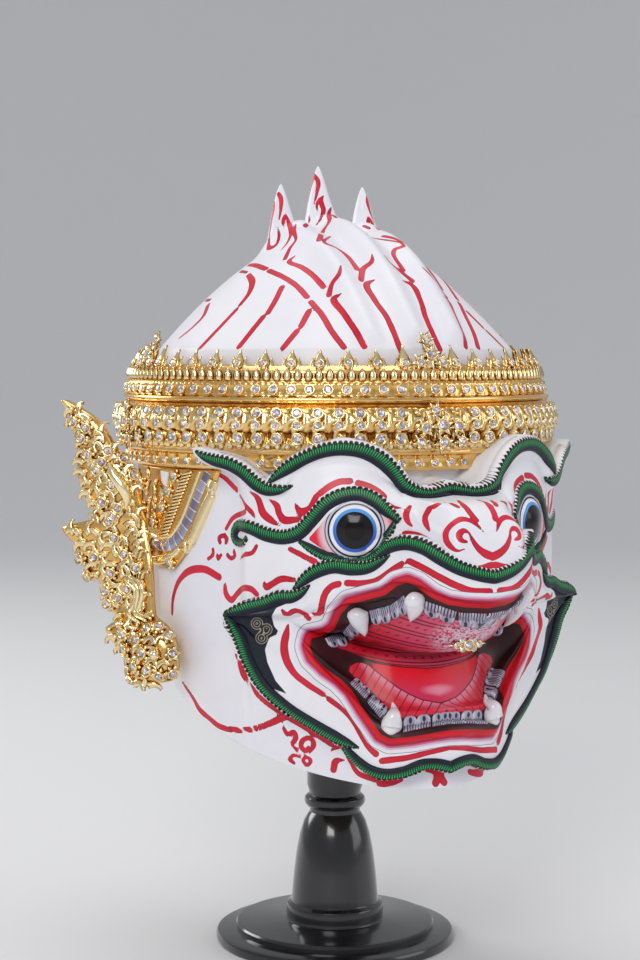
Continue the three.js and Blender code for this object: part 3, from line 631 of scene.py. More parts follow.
def closed_rings(rings):
    """Points and faces of a tube of rings with both ends drawn to their middles."""
    rings = np.asarray(rings, float)
    rows, sides = rings.shape[:2]
    points = np.vstack([rings.reshape(-1, 3), rings[0].mean(axis=0), rings[-1].mean(axis=0)])
    faces = grid_faces(rows, sides, closed=False).tolist()
    last = (rows - 1) * sides
    faces += [(rows * sides, (i + 1) % sides, i) for i in range(sides)]
    faces += [(rows * sides + 1, last + i, last + (i + 1) % sides) for i in range(sides)]
    return points, faces


dome_points, dome_faces = closed_rings(shell_rings.reshape(ring_total, SIDES_ROUND, 3))
crown = new_piece("painted_crown", dome_points, dome_faces)
turn_outwards(crown)

HORN_SIDES = 48
HORN_STEPS = 44
taper = through([(0, 14.2), (0.12, 12.6), (0.3, 9.8), (0.5, 7.2), (0.7, 4.9), (0.88, 2.6), (1, 0.5)])
lean = through([(0, -9), (0.4, -3.6), (0.7, -0.8), (1, 0)])
horn_meshes = []
for centre, back, tip in HORNS:
    horn_rings = []
    for share in np.linspace(0, 1, HORN_STEPS):
        round_tip = min(1, math.sqrt(max(0, 1 - ((share - 0.97) / 0.03) ** 2))) if share > 0.97 else 1
        angle = np.linspace(0, 2 * math.pi, HORN_SIDES, endpoint=False)
        radius = taper(share) * max(round_tip, 0.15)
        horn_rings.append(np.stack([centre + radius * np.cos(angle),
                                    back + lean(share) + radius * np.sin(angle),
                                    np.full(HORN_SIDES, tip - HORN_HEIGHT * (1 - share) - 0.1)], axis=-1))
    points, faces = closed_rings(horn_rings)
    horn = new_piece("horn", points, faces)
    horn.name = {0: "horn_middle", -25: "horn_right", 25: "horn_left"}[centre]
    turn_outwards(horn)
    horn_meshes.append((horn, points, faces))

crown_pieces = (crown, *(horn for horn, _, _ in horn_meshes))
for piece in crown_pieces:
    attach(piece, "root")
    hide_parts("mask_shell")


# Painted lines on the skin
# Crimson brush lines with a darker edge, which is partly the paint's own outline and partly painted shade
# along the line's edge. Each is listed as places in the picture with its width there, carried along the sight
# lines on to the skin, and mirrored to the other side.
PIXEL = 0.55  # mm at the axis
FACE_LINES = [
    ([(205, 464), (215, 472), (226, 479), (233, 486), (237, 490)], (0.5, 2.5, 4, 4.5, 4.5)),
    ([(240, 495), (246, 506), (252, 513), (255, 518)], (3.5, 4, 4, 1)),
    ([(250, 492), (257, 497), (260, 504), (263, 513), (272, 521), (280, 526)], (2, 5, 5, 6, 5, 1)),
    ([(270, 500), (277, 506), (279, 513), (284, 520), (293, 520), (302, 520)], (2, 5, 5, 6, 5, 2)),
    ([(295, 504), (301, 512), (309, 509), (316, 497)], (2, 6, 5, 5)),
    ([(320, 493.5), (328.5, 487), (339, 482), (350, 481)], (5,)),
    ([(358, 483), (368, 486), (377.5, 491), (384, 497)], (5,)),
    ([(387, 503), (393, 507), (402, 508)], (2.5, 3, 0.5)),
    ([(410, 506.5), (406, 515), (408, 522), (413, 527)], (3, 5, 4, 1)),
    ([(226, 529), (233, 518), (245, 512)], (3, 4, 4)),
    ([(220, 542.5), (219, 538), (223, 535.6), (227, 538), (226, 542.5)], (3.5,)),
    ([(208, 559), (213, 555), (213, 549)], (3,)),
    ([(217, 555), (218, 559), (221, 555)], (3,)),
    ([(227.5, 555), (231, 558.5), (235, 556), (234, 551)], (3.5,)),
    ([(240, 559), (244, 555), (252, 553), (256.5, 546)], (1.5, 3.5, 3.5, 3)),
    ([(290, 549), (302.5, 555.5), (315, 562)], (4, 4.5, 5)),
    ([(395, 537.5), (406, 534), (419, 536), (434, 544.5)], (4, 5, 5, 4)),
    ([(172, 614), (173.5, 596), (181, 578), (189, 571), (203, 569), (219, 577)], (3, 4, 5, 6, 6, 6)),
    ([(225, 584), (226, 594), (231.5, 600), (237, 594), (244, 588), (251, 589), (257, 594.5)],
     (3, 5, 5, 5, 5, 5, 4)),
    ([(264, 582), (266, 587), (272, 584), (281, 579), (294, 580)], (2, 5, 5, 5, 4)),
    ([(282, 610), (286.5, 615), (295, 611), (304, 613.5), (309, 619)], (2, 5, 4.5, 4.5, 4)),
    ([(311.5, 613), (319, 615), (322, 604), (326, 592), (332, 586), (339, 584)], (1, 5, 5, 5, 5, 5)),
    ([(347, 583), (361, 583.5), (376, 581), (389, 572.5), (402, 564)], (5,)),
    ([(409, 561), (423, 568), (439, 577), (455, 585), (472, 591), (490, 591.5)], (5,)),
    ([(288, 624.5), (286.5, 633), (284, 645), (286.5, 660), (294, 673), (306, 683), (323, 694)],
     (1.5, 5, 6, 6, 5, 5, 5)),
    ([(329, 699), (341, 708), (352.5, 721), (361, 736), (369, 748), (376, 754)], (5, 5, 4, 3, 4, 5)),
    ([(382, 761), (411, 757), (431, 752), (450, 748)], (5, 4.5, 4, 3)),
    ([(235, 632), (240, 642), (242, 648)], (2,)),
    ([(236, 655), (241, 668), (249, 684), (262, 699), (281, 713)], (3, 5, 5, 5, 4)),
    ([(183, 683), (193, 698), (200, 710), (209, 718), (219, 726), (237, 730), (253, 729), (266, 725),
      (284, 717)],
     (4, 5, 6, 5, 5, 5, 5, 5, 6)),
    ([(288, 718), (310, 731), (332, 745)], (4,)),
    ([(283, 727), (288, 734.5), (294, 732), (296, 738), (292, 744), (297, 749)], (3, 4, 4, 4, 3, 3)),
    ([(308.5, 747), (306, 751), (301, 746), (303, 740), (310, 738), (314, 745), (310, 751)],
     (3, 4, 4, 4, 4, 4, 3)),
    ([(294, 763), (289.5, 759.5), (294, 755), (300, 756.5)], (3,)),
    ([(306, 765), (303, 760), (306, 757), (311, 761), (308, 765)], (3,)),
    ([(330.5, 751), (338, 747), (344, 751), (350, 761), (358, 773), (374.5, 779)], (1, 4, 4, 3, 4, 5)),
    ([(344.5, 760), (336, 761), (333.5, 770)], (1, 5, 5)),
    ([(381, 783), (391, 782), (406, 777), (417, 772), (427, 769), (435.5, 772), (437.5, 777), (435.5, 783)],
     (7, 6, 4, 4, 5, 6, 7, 6)),
]
NOSE_LINES = [
    ([(433, 507), (441, 503), (450, 503), (458, 507)], (4,)),
    ([(457, 500), (464.5, 506), (471, 514), (476, 520)], (2, 5, 5, 5)),
    ([(429, 509.5), (425, 518), (427, 526), (432, 534)], (5, 5, 4, 1)),
    ([(483.5, 532), (478, 526), (471, 521), (462, 519), (453, 523.5), (446, 532), (446, 540), (451, 547),
      (458, 551), (464.5, 549)], (1, 3, 4, 5, 5, 5, 5, 4, 2, 1)),
    ([(467, 542), (461, 540), (459, 535), (464, 530.5), (469, 533), (472, 539), (479, 549), (486, 554),
      (493, 556.5)],
     (2, 4, 5, 4, 2, 3, 5, 6, 6)),
    ([(440, 550), (450, 559), (464, 566), (478, 569), (492, 565)], (5,)),
]
CROWN_LINES = [
    ([(275, 191), (280, 196), (281, 207), (279, 220)], (3, 4, 3, 1)),
    ([(275, 191), (274, 204), (271, 224), (269, 240), (269, 248), (275, 246), (279, 235), (277, 226)],
     (3, 4, 3, 3, 5, 3, 3, 1)),
    ([(286, 214), (289, 223), (291, 232), (287, 243), (281, 250)], (1, 4, 4, 3, 1)),
    ([(285, 216), (283, 222), (284, 228)], (3, 3, 1)),
    ([(296, 224), (294, 231), (296, 239), (290, 248), (285, 259)], (1, 4, 3, 4, 4)),
    ([(295, 256), (289, 261), (301, 267), (314, 276.5), (323.5, 287)], (1.5, 4, 5, 5, 5)),
    ([(240, 266), (254, 265), (266, 269)], (1, 5, 5)),
    ([(269, 270.5), (285, 278), (298, 287), (307, 297)], (5,)),
    ([(311, 302), (322, 315), (331.5, 331), (344, 347.5)], (5,)),
    ([(224, 275), (236, 271), (247, 272.5)], (1, 4, 3)),
    ([(248.5, 275), (252, 280.5), (250, 291), (240, 305)], (5, 6, 5, 4)),
    ([(236, 310), (220, 327), (200, 348)], (4.5,)),
    ([(210, 300), (202, 301), (191, 309), (183, 318)], (4, 3, 2, 4)),
    ([(208, 305), (204, 315), (194, 326), (179.5, 338)], (5, 5, 4, 3)),
    ([(282, 287), (275, 301), (268, 313)], (5,)),
    ([(263, 317), (252.5, 330), (239, 347)], (5,)),
    ([(309, 311), (301, 326)], (5,)),
    ([(297, 331), (283, 348)], (5,)),
    ([(160, 333), (157, 347.5)], (2, 5)),
    ([(314, 175), (318, 181), (317, 192), (314, 204)], (3, 4, 3, 1)),
    ([(314, 177), (311, 188), (308, 203)], (3, 2, 1)),
    ([(323.5, 195.5), (321, 200), (323.5, 210), (321, 218), (315, 227)], (1, 4, 4, 3, 1)),
    ([(320, 199), (317, 204), (317, 211)], (3, 3, 1)),
    ([(331.5, 207), (329, 214), (329.5, 220), (323.5, 230), (319, 240)], (1, 4, 4, 4, 5)),
    ([(309, 216), (309, 222), (305, 226)], (1.5, 3, 4)),
    ([(330, 236.5), (324, 241), (336.5, 248), (348, 257), (357, 269)], (2, 3, 4, 4, 5)),
    ([(341, 265), (339, 274), (332, 283.5), (329, 295)], (1, 4, 4, 5)),
    ([(341, 294), (334, 298), (343.5, 313), (355, 330), (364.5, 347)], (2, 5, 5, 5, 5)),
    ([(372, 254), (372, 261), (363, 269), (361, 280)], (1, 4, 5, 5)),
    ([(374, 280), (367, 283.5), (374, 299), (386, 316), (394, 333), (400, 349)], (2, 5, 5, 5, 5, 5)),
]

crown_points, crown_faces = list(map(tuple, dome_points)), [list(f) for f in dome_faces]
for _, points, faces in horn_meshes:
    start = len(crown_points)
    crown_points += list(map(tuple, points))
    crown_faces += [[i + start for i in f] for f in faces]
crown_tree = BVHTree.FromPolygons(crown_points, crown_faces)


LINE_BREAK = 9  # mm; a painted line that jumps further has passed behind something


def on_surface(tree, x, y):
    """Where the sight line through a place in the picture meets the surface, in mm."""
    hit = tree.ray_cast(camera_place, sight_line(x, y))
    return hit[0]


def smooth_line(stations, spacing):
    """Even steps along a smooth curve through the stations, with all their numbers carried along."""
    stations = np.asarray(stations, float)
    gaps = np.linalg.norm(np.diff(stations[:, :3], axis=0), axis=1)
    place = np.concatenate([[0], np.cumsum(np.maximum(gaps, 1e-6))])
    slope = np.zeros_like(stations)
    step = np.diff(place)[:, None]
    rise = np.diff(stations, axis=0) / step
    slope[1:-1] = (rise[:-1] * step[1:] + rise[1:] * step[:-1]) / (step[:-1] + step[1:])
    slope[0], slope[-1] = rise[0], rise[-1]
    at = np.linspace(0, place[-1], max(2, int(place[-1] / spacing) + 1))
    i = np.clip(np.searchsorted(place, at, "right") - 1, 0, len(place) - 2)
    t = ((at - place[i]) / step[i, 0])[:, None]
    return between(t, stations[i], stations[i + 1], slope[i], slope[i + 1], step[i])


def painted_lines(tree, lines, folded=True):
    """Each line as points on the skin, with half widths in mm; folded ones all lie on one side."""
    laid = []
    for places, widths in lines:
        widths = list(widths) * len(places) if len(widths) == 1 else list(widths)
        fine = smooth_line([(x, y, 0, w) for (x, y), w in zip(places, widths)], 2.0)
        stations = []
        for x, y, _, width in fine:
            point = on_surface(tree, x, y)
            if point is not None:
                across = -abs(point.x) if folded else point.x
                stations.append((across, point.y, point.z, max(width, 0.4) * PIXEL * 0.6))
        runs, run = [], stations[:1]
        for before, after in zip(stations, stations[1:]):
            if math.dist(before[:3], after[:3]) > LINE_BREAK:
                runs.append(run)
                run = []
            run.append(after)
        runs.append(run)
        laid += [np.array(r) for r in runs if len(r) > 1]
    return laid


def line_distance(points, laid, reach=9.0, folded=True):
    """Distance in mm from each point to the nearest painted edge, less than 0 inside the paint."""
    places = np.array(points, float)
    if folded:
        places[:, 0] = -np.abs(places[:, 0])
    found = np.full(len(points), reach)
    for run in laid:
        low, high = run[:, :3].min(axis=0) - reach, run[:, :3].max(axis=0) + reach
        near = np.flatnonzero(((places > low) & (places < high)).all(axis=1))
        if not len(near):
            continue
        p = places[near]
        best = found[near]
        for a, b in zip(run, run[1:]):
            along = b[:3] - a[:3]
            t = np.clip(((p - a[:3]) @ along) / max(along @ along, 1e-9), 0, 1)
            gap = np.linalg.norm(p - a[:3] - t[:, None] * along, axis=1) - mix(a[3], b[3], t)
            best = np.minimum(best, gap)
        found[near] = best
    return found


face_lines = painted_lines(skin_tree, FACE_LINES + NOSE_LINES)
crown_lines = painted_lines(crown_tree, CROWN_LINES)
attribute(head, "line", line_distance(head_points, face_lines))
attribute(crown, "line", line_distance(dome_points, crown_lines))
middle_lines = painted_lines(crown_tree, CROWN_LINES, folded=False)
for horn, points, _ in horn_meshes:
    middle = horn.name == "horn_middle"
    attribute(horn, "line", line_distance(points, middle_lines if middle else crown_lines, folded=not middle))

point_angles = np.abs(np.degrees(np.arctan2(head_points[:, 0], -head_points[:, 1])))
within = ((point_angles < MOUTH_CORNER) & (head_points[:, 2] > mouth_foot(point_angles))
          & (head_points[:, 2] < mouth_top(point_angles)))

# The place in the picture that each point of the mask's right side is seen at; the left side copies it
folded = head_points.copy()
folded[:, 0] = -np.abs(folded[:, 0])
offset = folded - np.array(camera_place)
deep = offset @ np.array(aim)
seen_x = PICTURE_MIDDLE[0] + FOCAL_PIXELS * (offset @ np.array(frame_right)) / deep
seen_y = PICTURE_MIDDLE[1] - FOCAL_PIXELS * (offset @ np.array(frame_up)) / deep
attribute(head, "seen_x", seen_x)
attribute(head, "seen_y", seen_y)

TONGUE = [(366, 661.5), (384, 664.5), (402.7, 667), (427, 668.2), (451, 665.8), (500, 655), (500, 701),
          (457.3, 703.3), (439, 702.7), (422, 699.7), (410, 694.5), (397.9, 687.6), (385, 678),
          (372.4, 668.2)]
GUM = [(348, 671), (350, 666), (356, 662.5), (363, 662.5), (372, 667), (385, 677), (398, 687), (422, 699),
       (439, 702), (500, 701), (500, 708), (455, 712.5), (430, 715), (404, 719), (392, 713), (385, 705),
       (372, 692), (355, 678)]
PALATE = [(333, 644), (345, 640), (357, 633), (369, 626), (376, 622), (388, 620), (397, 616), (404, 612),
          (425, 610), (448, 618), (465, 622), (500, 622), (500, 655), (475.5, 659.7), (451, 665.8),
          (427, 668.2), (402.7, 667), (380, 662.5), (369, 659), (352, 653), (336, 647.5)]


# The painted edge of the mouth, and the dark corner beside it where three scrolls are drawn
MOUTH_EDGE = [(309.8, 646.3), (311.6, 638), (325.5, 635.2), (334.7, 628.8), (341.2, 614), (349.5, 604.7),
              (366.2, 600.1), (384.7, 595.5), (397.6, 585.3), (406.9, 582.5), (416.1, 586.2), (430.9, 597.3),
              (447.5, 604.7), (466, 607.5), (488.2, 608.4), (545, 606), (545, 718), (501.2, 722.2),
              (469.7, 726.8), (436.5, 732.3), (410.6, 737), (390.2, 738.8), (381, 734.2), (373.6, 723.1),
              (364.3, 710.1), (351.4, 689.8), (340.3, 678.7), (325.5, 668.5), (313.5, 656.5)]
CORNER = [(226, 614.5), (250, 612), (262, 606), (276, 601), (292, 597), (289, 602.7), (276, 608),
          (271.7, 616.3), (274.2, 626.2), (280, 633.2), (269.2, 637.8), (265, 649.5), (267.5, 662.7),
          (275.8, 681), (287, 694), (268, 687), (252, 665), (241, 645), (232, 628)]
CORNER_SCROLLS = ((257, 623.5), (266.5, 629.5), (261.5, 638))
MOUTH_SIDE = 46  # degrees; nothing of the mouth is painted further round


def outline_distance(xs, ys, corners):
    """Distance in picture pixels to a closed outline, less than 0 inside it."""
    best, parity = np.full(len(xs), FAR), np.zeros(len(xs), bool)
    for (ax, ay), (bx, by) in zip(corners, corners[1:] + corners[:1]):
        ex, ey = bx - ax, by - ay
        t = np.clip(((xs - ax) * ex + (ys - ay) * ey) / (ex * ex + ey * ey), 0, 1)
        best = np.minimum(best, np.hypot(xs - ax - t * ex, ys - ay - t * ey))
        crossing = (ay > ys) != (by > ys)
        parity ^= crossing & (xs < ax + (ys - ay) * ex / (ey if ey else 1e-9))
    return np.where(parity, -best, best)


beside_mouth = point_angles < MOUTH_SIDE
attribute(head, "lip", np.where(beside_mouth, outline_distance(seen_x, seen_y, MOUTH_EDGE) * PIXEL, 30))
on_plate = (point_angles < MUZZLE_EDGE + 0.3) & (head_points[:, 2] > beard_foot(point_angles) - 0.4)
attribute(head, "corner", np.where(on_plate, outline_distance(seen_x, seen_y, CORNER), 30))
swirls = np.min([np.hypot(seen_x - x, seen_y - y) for x, y in CORNER_SCROLLS], axis=0)
attribute(head, "swirl", swirls)
for name, corners in (("tongue", TONGUE), ("gum", GUM), ("palate", PALATE)):
    attribute(head, name, np.where(within, outline_distance(seen_x, seen_y, corners), 20))

# White gesso with the crimson brush lines, shared by the face, the crown and the horns
brushed_gesso = bpy.data.node_groups.new("brushed_gesso", "ShaderNodeTree")
for name, kind in (("Colour", "NodeSocketColor"), ("Roughness", "NodeSocketFloat"),
                   ("Height", "NodeSocketFloat")):
    brushed_gesso.interface.new_socket(name, in_out="OUTPUT", socket_type=kind)
work = Nodes(brushed_gesso)
cloud = work.noise(14.0, 4.0, 0.55)
fine = work.noise(160.0, 3.0, 0.6)
gesso = work.blend(work.step(cloud, 0.52, 0.14), (0.86, 0.855, 0.90), (0.80, 0.79, 0.86))
line = work.named("line")
wander = work.spread(work.noise(220.0, 2.0), 0.4, -0.2)
edge = work.plus(line, wander)
# darker crimson towards the line's edge: partly its own outline, partly painted shade
crimson_with_shaded_edge = work.blend(work.step(line, -0.5, 0.3), (0.60, 0.010, 0.032), (0.36, 0.006, 0.026))
tinted = work.blend(work.step(work.noise(60.0, 2.0), 0.55, 0.2), crimson_with_shaded_edge, (0.66, 0.024, 0.055))

given = brushed_gesso.nodes.new("NodeGroupOutput")
brushed_gesso.links.new(work.blend(work.under(edge, 0.0, 0.14), gesso, tinted), given.inputs["Colour"])
brushed_gesso.links.new(work.spread(cloud, 0.18, 0.28), given.inputs["Roughness"])
brushed_gesso.links.new(work.spread(fine, 0.4, cloud), given.inputs["Height"])


GESSO = {"colour": (0.86, 0.85, 0.89), "roughness": 0.4, "Coat_Weight": 0.08, "Coat_Roughness": 0.25,
         "Specular_IOR_Level": 0.3}


def gesso_outputs():
    """The shared gesso in the material being made: its roughness and relief are joined up here."""
    node = work.add("Group")
    node.node_tree = brushed_gesso
    work.roughness(node.outputs["Roughness"])
    work.bump(node.outputs["Height"], 0.12, 0.0006)
    return node.outputs["Colour"]


paint = plain_material("painted_gesso", **GESSO)
work = Nodes(paint)
skin_colour = gesso_outputs()
# the lip is shaded outwards from its edge: scarlet, crimson, rose, lavender, and a fine grey line
lip = work.plus(work.named("lip"), work.spread(work.noise(90.0, 2.0), 0.5, -0.25))
for limit, soft, colour in [
    (8.5, 0.08, (0.13, 0.12, 0.14)), (8.2, 0.08, (0.82, 0.80, 0.87)), (6.3, 0.45, (0.68, 0.50, 0.64)),
    (5.2, 0.35, (0.64, 0.13, 0.27)), (4.2, 0.22, (0.46, 0.010, 0.05)), (3.1, 0.2, (0.68, 0.008, 0.022)),
    # the last band, near black just inside the lip's edge, is partly its own dark paint and partly painted
    # shade
    (1.2, 0.2, (0.56, 0.006, 0.016)), (0.0, 0.2, (0.022, 0.007, 0.007)),
]:
    skin_colour = work.blend(work.under(lip, limit, soft), skin_colour, colour)

# the dark corner beyond the lips, with three scrolls in fine grey-gold lines
swirl = work.named("swirl")
ripple = work.off_middle(work.over(swirl, 2.3))
scroll = work.times(work.under(ripple, 0.16, 0.08), work.under(swirl, 6.6, 0.4))
corner_colour = work.blend(scroll, (0.006, 0.009, 0.022), (0.34, 0.31, 0.22))
skin_colour = work.blend(work.under(work.named("corner"), 0.0, 0.35), skin_colour, corner_colour)

seen_across, seen_down = work.named("seen_x"), work.named("seen_y")
# the throat: near-black paint, partly its own colour and partly painted shade deep in the hollow of the mouth
throat_dark_and_shade = work.blend(work.step(work.noise(40.0, 3.0), 0.5, 0.2), (0.018, 0.007, 0.008), (0.05, 0.010, 0.013))

# palate: rose-crimson, with pairs of fine arcs and rows of dots round the jewel, and a glitter of mica
# painted as pale specks, which are painted glints
palate_place = work.add("SeparateXYZ", Vector=work.place())
arc_x = work.times(palate_place.outputs["X"], 1240.0)
arc_y = work.spread(palate_place.outputs["Z"], 2000.0, -446.0)
arc = work.math("SQRT", work.squares(arc_x, arc_y))
sweep_angle = work.math("ARCTAN2", arc_y, arc_x)
ARC_PITCH = 11.3
arc_place = work.math("FRACT", work.over(arc, ARC_PITCH))
pair = work.math("ABSOLUTE", work.minus(work.math("ABSOLUTE", work.minus(arc_place, 0.5)), 0.13))
arcs = work.under(pair, 0.05, 0.03)
dot_across = work.times(work.minus(work.math("FRACT", work.times(sweep_angle, 17.0)), 0.5), 6.2)
dot_out = work.times(work.math("MINIMUM", arc_place, work.minus(1.0, arc_place)), ARC_PITCH)
dots = work.under(work.squares(dot_across, dot_out),
             1.0, 0.5)
palate_base = work.blend(work.step(seen_across, 398.0, 34.0), (0.55, 0.012, 0.03), (0.66, 0.075, 0.15))
palate_lined = work.blend(work.math("MAXIMUM", arcs, work.times(dots, 0.8)), palate_base,
                          (0.17, 0.006, 0.018))
near_x = work.over(work.minus(seen_across, 468.0), 44.0)
near_y = work.over(work.minus(seen_down, 640.0), 24.0)
from_jewel = work.squares(near_x, near_y)
# pale specks near the jewel: the mica's glints, painted into the colour
mica = work.add("TexVoronoi", Scale=900.0)
work.tree.links.new(work.place(), mica.inputs["Vector"])
mica_glint = work.times(work.under(from_jewel, 0.55, 0.5), work.step(mica.outputs["Color"], 0.42, 0.1))
palate = work.blend(mica_glint, palate_lined, (0.74, 0.56, 0.68))
inside = work.blend(work.under(work.named("palate"), 0.0, 0.5), throat_dark_and_shade, palate)

# lower gum: rose with fine transverse creases
gum_place = work.plus(work.times(seen_across, 0.105), work.times(seen_down, 0.06))
crease = work.off_middle(gum_place)
gum_base = work.blend(work.step(work.named("tongue"), 6.0, 4.5), (0.72, 0.18, 0.27), (0.66, 0.02, 0.045))
gum_lined = work.blend(work.under(crease, 0.07, 0.04), gum_base, (0.26, 0.008, 0.02))
inside = work.blend(work.under(work.named("gum"), 0.0, 0.5), inside, gum_lined)
inside = work.blend(work.under(work.math("ABSOLUTE", work.named("gum")), 0.5, 0.4), inside,
                    (0.10, 0.006, 0.012))

# tongue: scarlet, rosier and with a painted highlight, a pale gleam, low down towards the middle
tongue_highlight_x = work.over(work.minus(seen_across, 450.0), 26.0)
tongue_highlight_y = work.over(work.minus(seen_down, 690.0), 6.0)
tongue_highlight = work.squares(tongue_highlight_x, tongue_highlight_y)
tongue_base = work.blend(work.step(seen_down, 683.0, 12.0), (0.74, 0.008, 0.022), (0.60, 0.025, 0.085))
tongue = work.blend(work.times(work.under(tongue_highlight, 0.8, 0.8), 0.7), tongue_base, (0.80, 0.36, 0.48))
inside = work.blend(work.under(work.named("tongue"), 0.0, 0.4), inside, tongue)
inside = work.blend(work.under(work.math("ABSOLUTE", work.named("tongue")), 0.6, 0.4), inside,
                    (0.10, 0.006, 0.012))
deep_mouth = work.under(lip, -0.25, 0.25)
work.colour(work.blend(deep_mouth, skin_colour, inside))

crown_paint = plain_material("painted_crown", **GESSO)
work = Nodes(crown_paint)
work.colour(gesso_outputs())
for piece in crown_pieces:
    piece.data.materials.append(crown_paint)

bare_paper = plain_material("bare_paper", (0.42, 0.34, 0.24), 0.85)
work = Nodes(bare_paper)
pulp = work.noise(55.0, 6.0, 0.65)
work.colour(work.blend(work.step(pulp, 0.5, 0.2), (0.36, 0.28, 0.19), (0.52, 0.43, 0.31)))
work.roughness(work.spread(pulp, 0.15, 0.75))
work.bump(pulp, 0.4, 0.0015)
head.data.materials.append(paint)
head.data.materials.append(bare_paper)
lining = np.zeros(len(head.data.polygons), np.int32)
lining[(ROWS_OUT - 1) * columns:] = 1
head.data.polygons.foreach_set("material_index", lining)


# Raised green bands
# Cords of paste laid along the brows, eyelids and lips and painted green: each is a low ridge,
# hatched across in bright green, edged outside with dark beads and inside with blue-black.
BAND_BEAD_PITCH = 2.45
BAND_HEIGHT = 1.5
BROW_BAND = [(453, 487, 11), (441, 490, 10), (429, 492.5, 9), (417, 491, 11), (405.5, 485.5, 13),
             (394, 471.5, 15), (382, 460, 16), (366, 451.5, 15), (343, 448, 14), (323, 450.5, 13.5),
             (305, 457.5, 13), (289, 466.5, 13), (277, 475, 9), (268, 483, 3)]
BROW_TAIL = [(195.5, 451, 3), (203, 455.5, 8), (213, 459.5, 12), (228, 463.5, 14), (243, 471.5, 15),
             (254, 481.5, 15), (266, 489, 13), (280, 489.5, 9), (293, 485.5, 2)]
UPPER_LID = [(247, 537, 5), (243.5, 543, 7), (237, 541, 9), (235, 533, 10), (239, 525.5, 11), (249, 527, 13),
             (266, 534, 14), (283, 537, 14), (298, 533, 14), (312, 519, 14), (327, 503, 14), (344, 495, 14),
             (360, 494, 14), (375, 500, 14), (388, 511, 12), (400, 521, 6)]
LOWER_LID = [(299, 541, 4), (309, 547.5, 8), (325, 556, 9.5), (339, 560.5, 9.5), (353, 561.5, 9.5),
             (365, 559.5, 9.5), (375.5, 553, 9.5), (384, 543, 9), (391, 530, 7), (396.5, 519, 4)]
LIP_CORNER = [(224, 613, 3), (233, 611, 9), (247, 607, 13), (264, 603, 13), (279, 597, 13), (292, 596.5, 12),
              (302, 592, 8), (310, 585, 2)]
LIP_SIDE = [(293, 590, 3), (303, 580.5, 10), (314, 572.5, 13), (333, 566, 14), (352, 568, 14), (368, 567, 12),
            (381, 561, 8), (390, 555, 2)]
LIP_FRONT = [(373, 560, 3), (380, 552.5, 10), (391, 545.5, 13), (405, 542.5, 14), (422, 546.5, 14),
             (440, 557, 14), (458, 567, 13.5), (481, 574.5, 13), (498, 577.5, 13)]
JAW_SIDE = [(224, 613, 3), (230, 623, 9), (238, 636, 12), (248, 662, 12), (261, 684, 12), (284, 706, 12),
            (315, 726, 12), (336, 738, 12), (349, 744, 8), (359, 748, 2)]
JAW_FRONT = [(341, 742, 3), (348, 752, 9), (358, 763, 12), (370, 771, 12), (385, 775, 12), (404, 772.5, 12),
             (424, 765, 12), (439, 765, 12), (452, 768, 12)]

BOTH_SIDES = (("right", 1), ("left", -1))


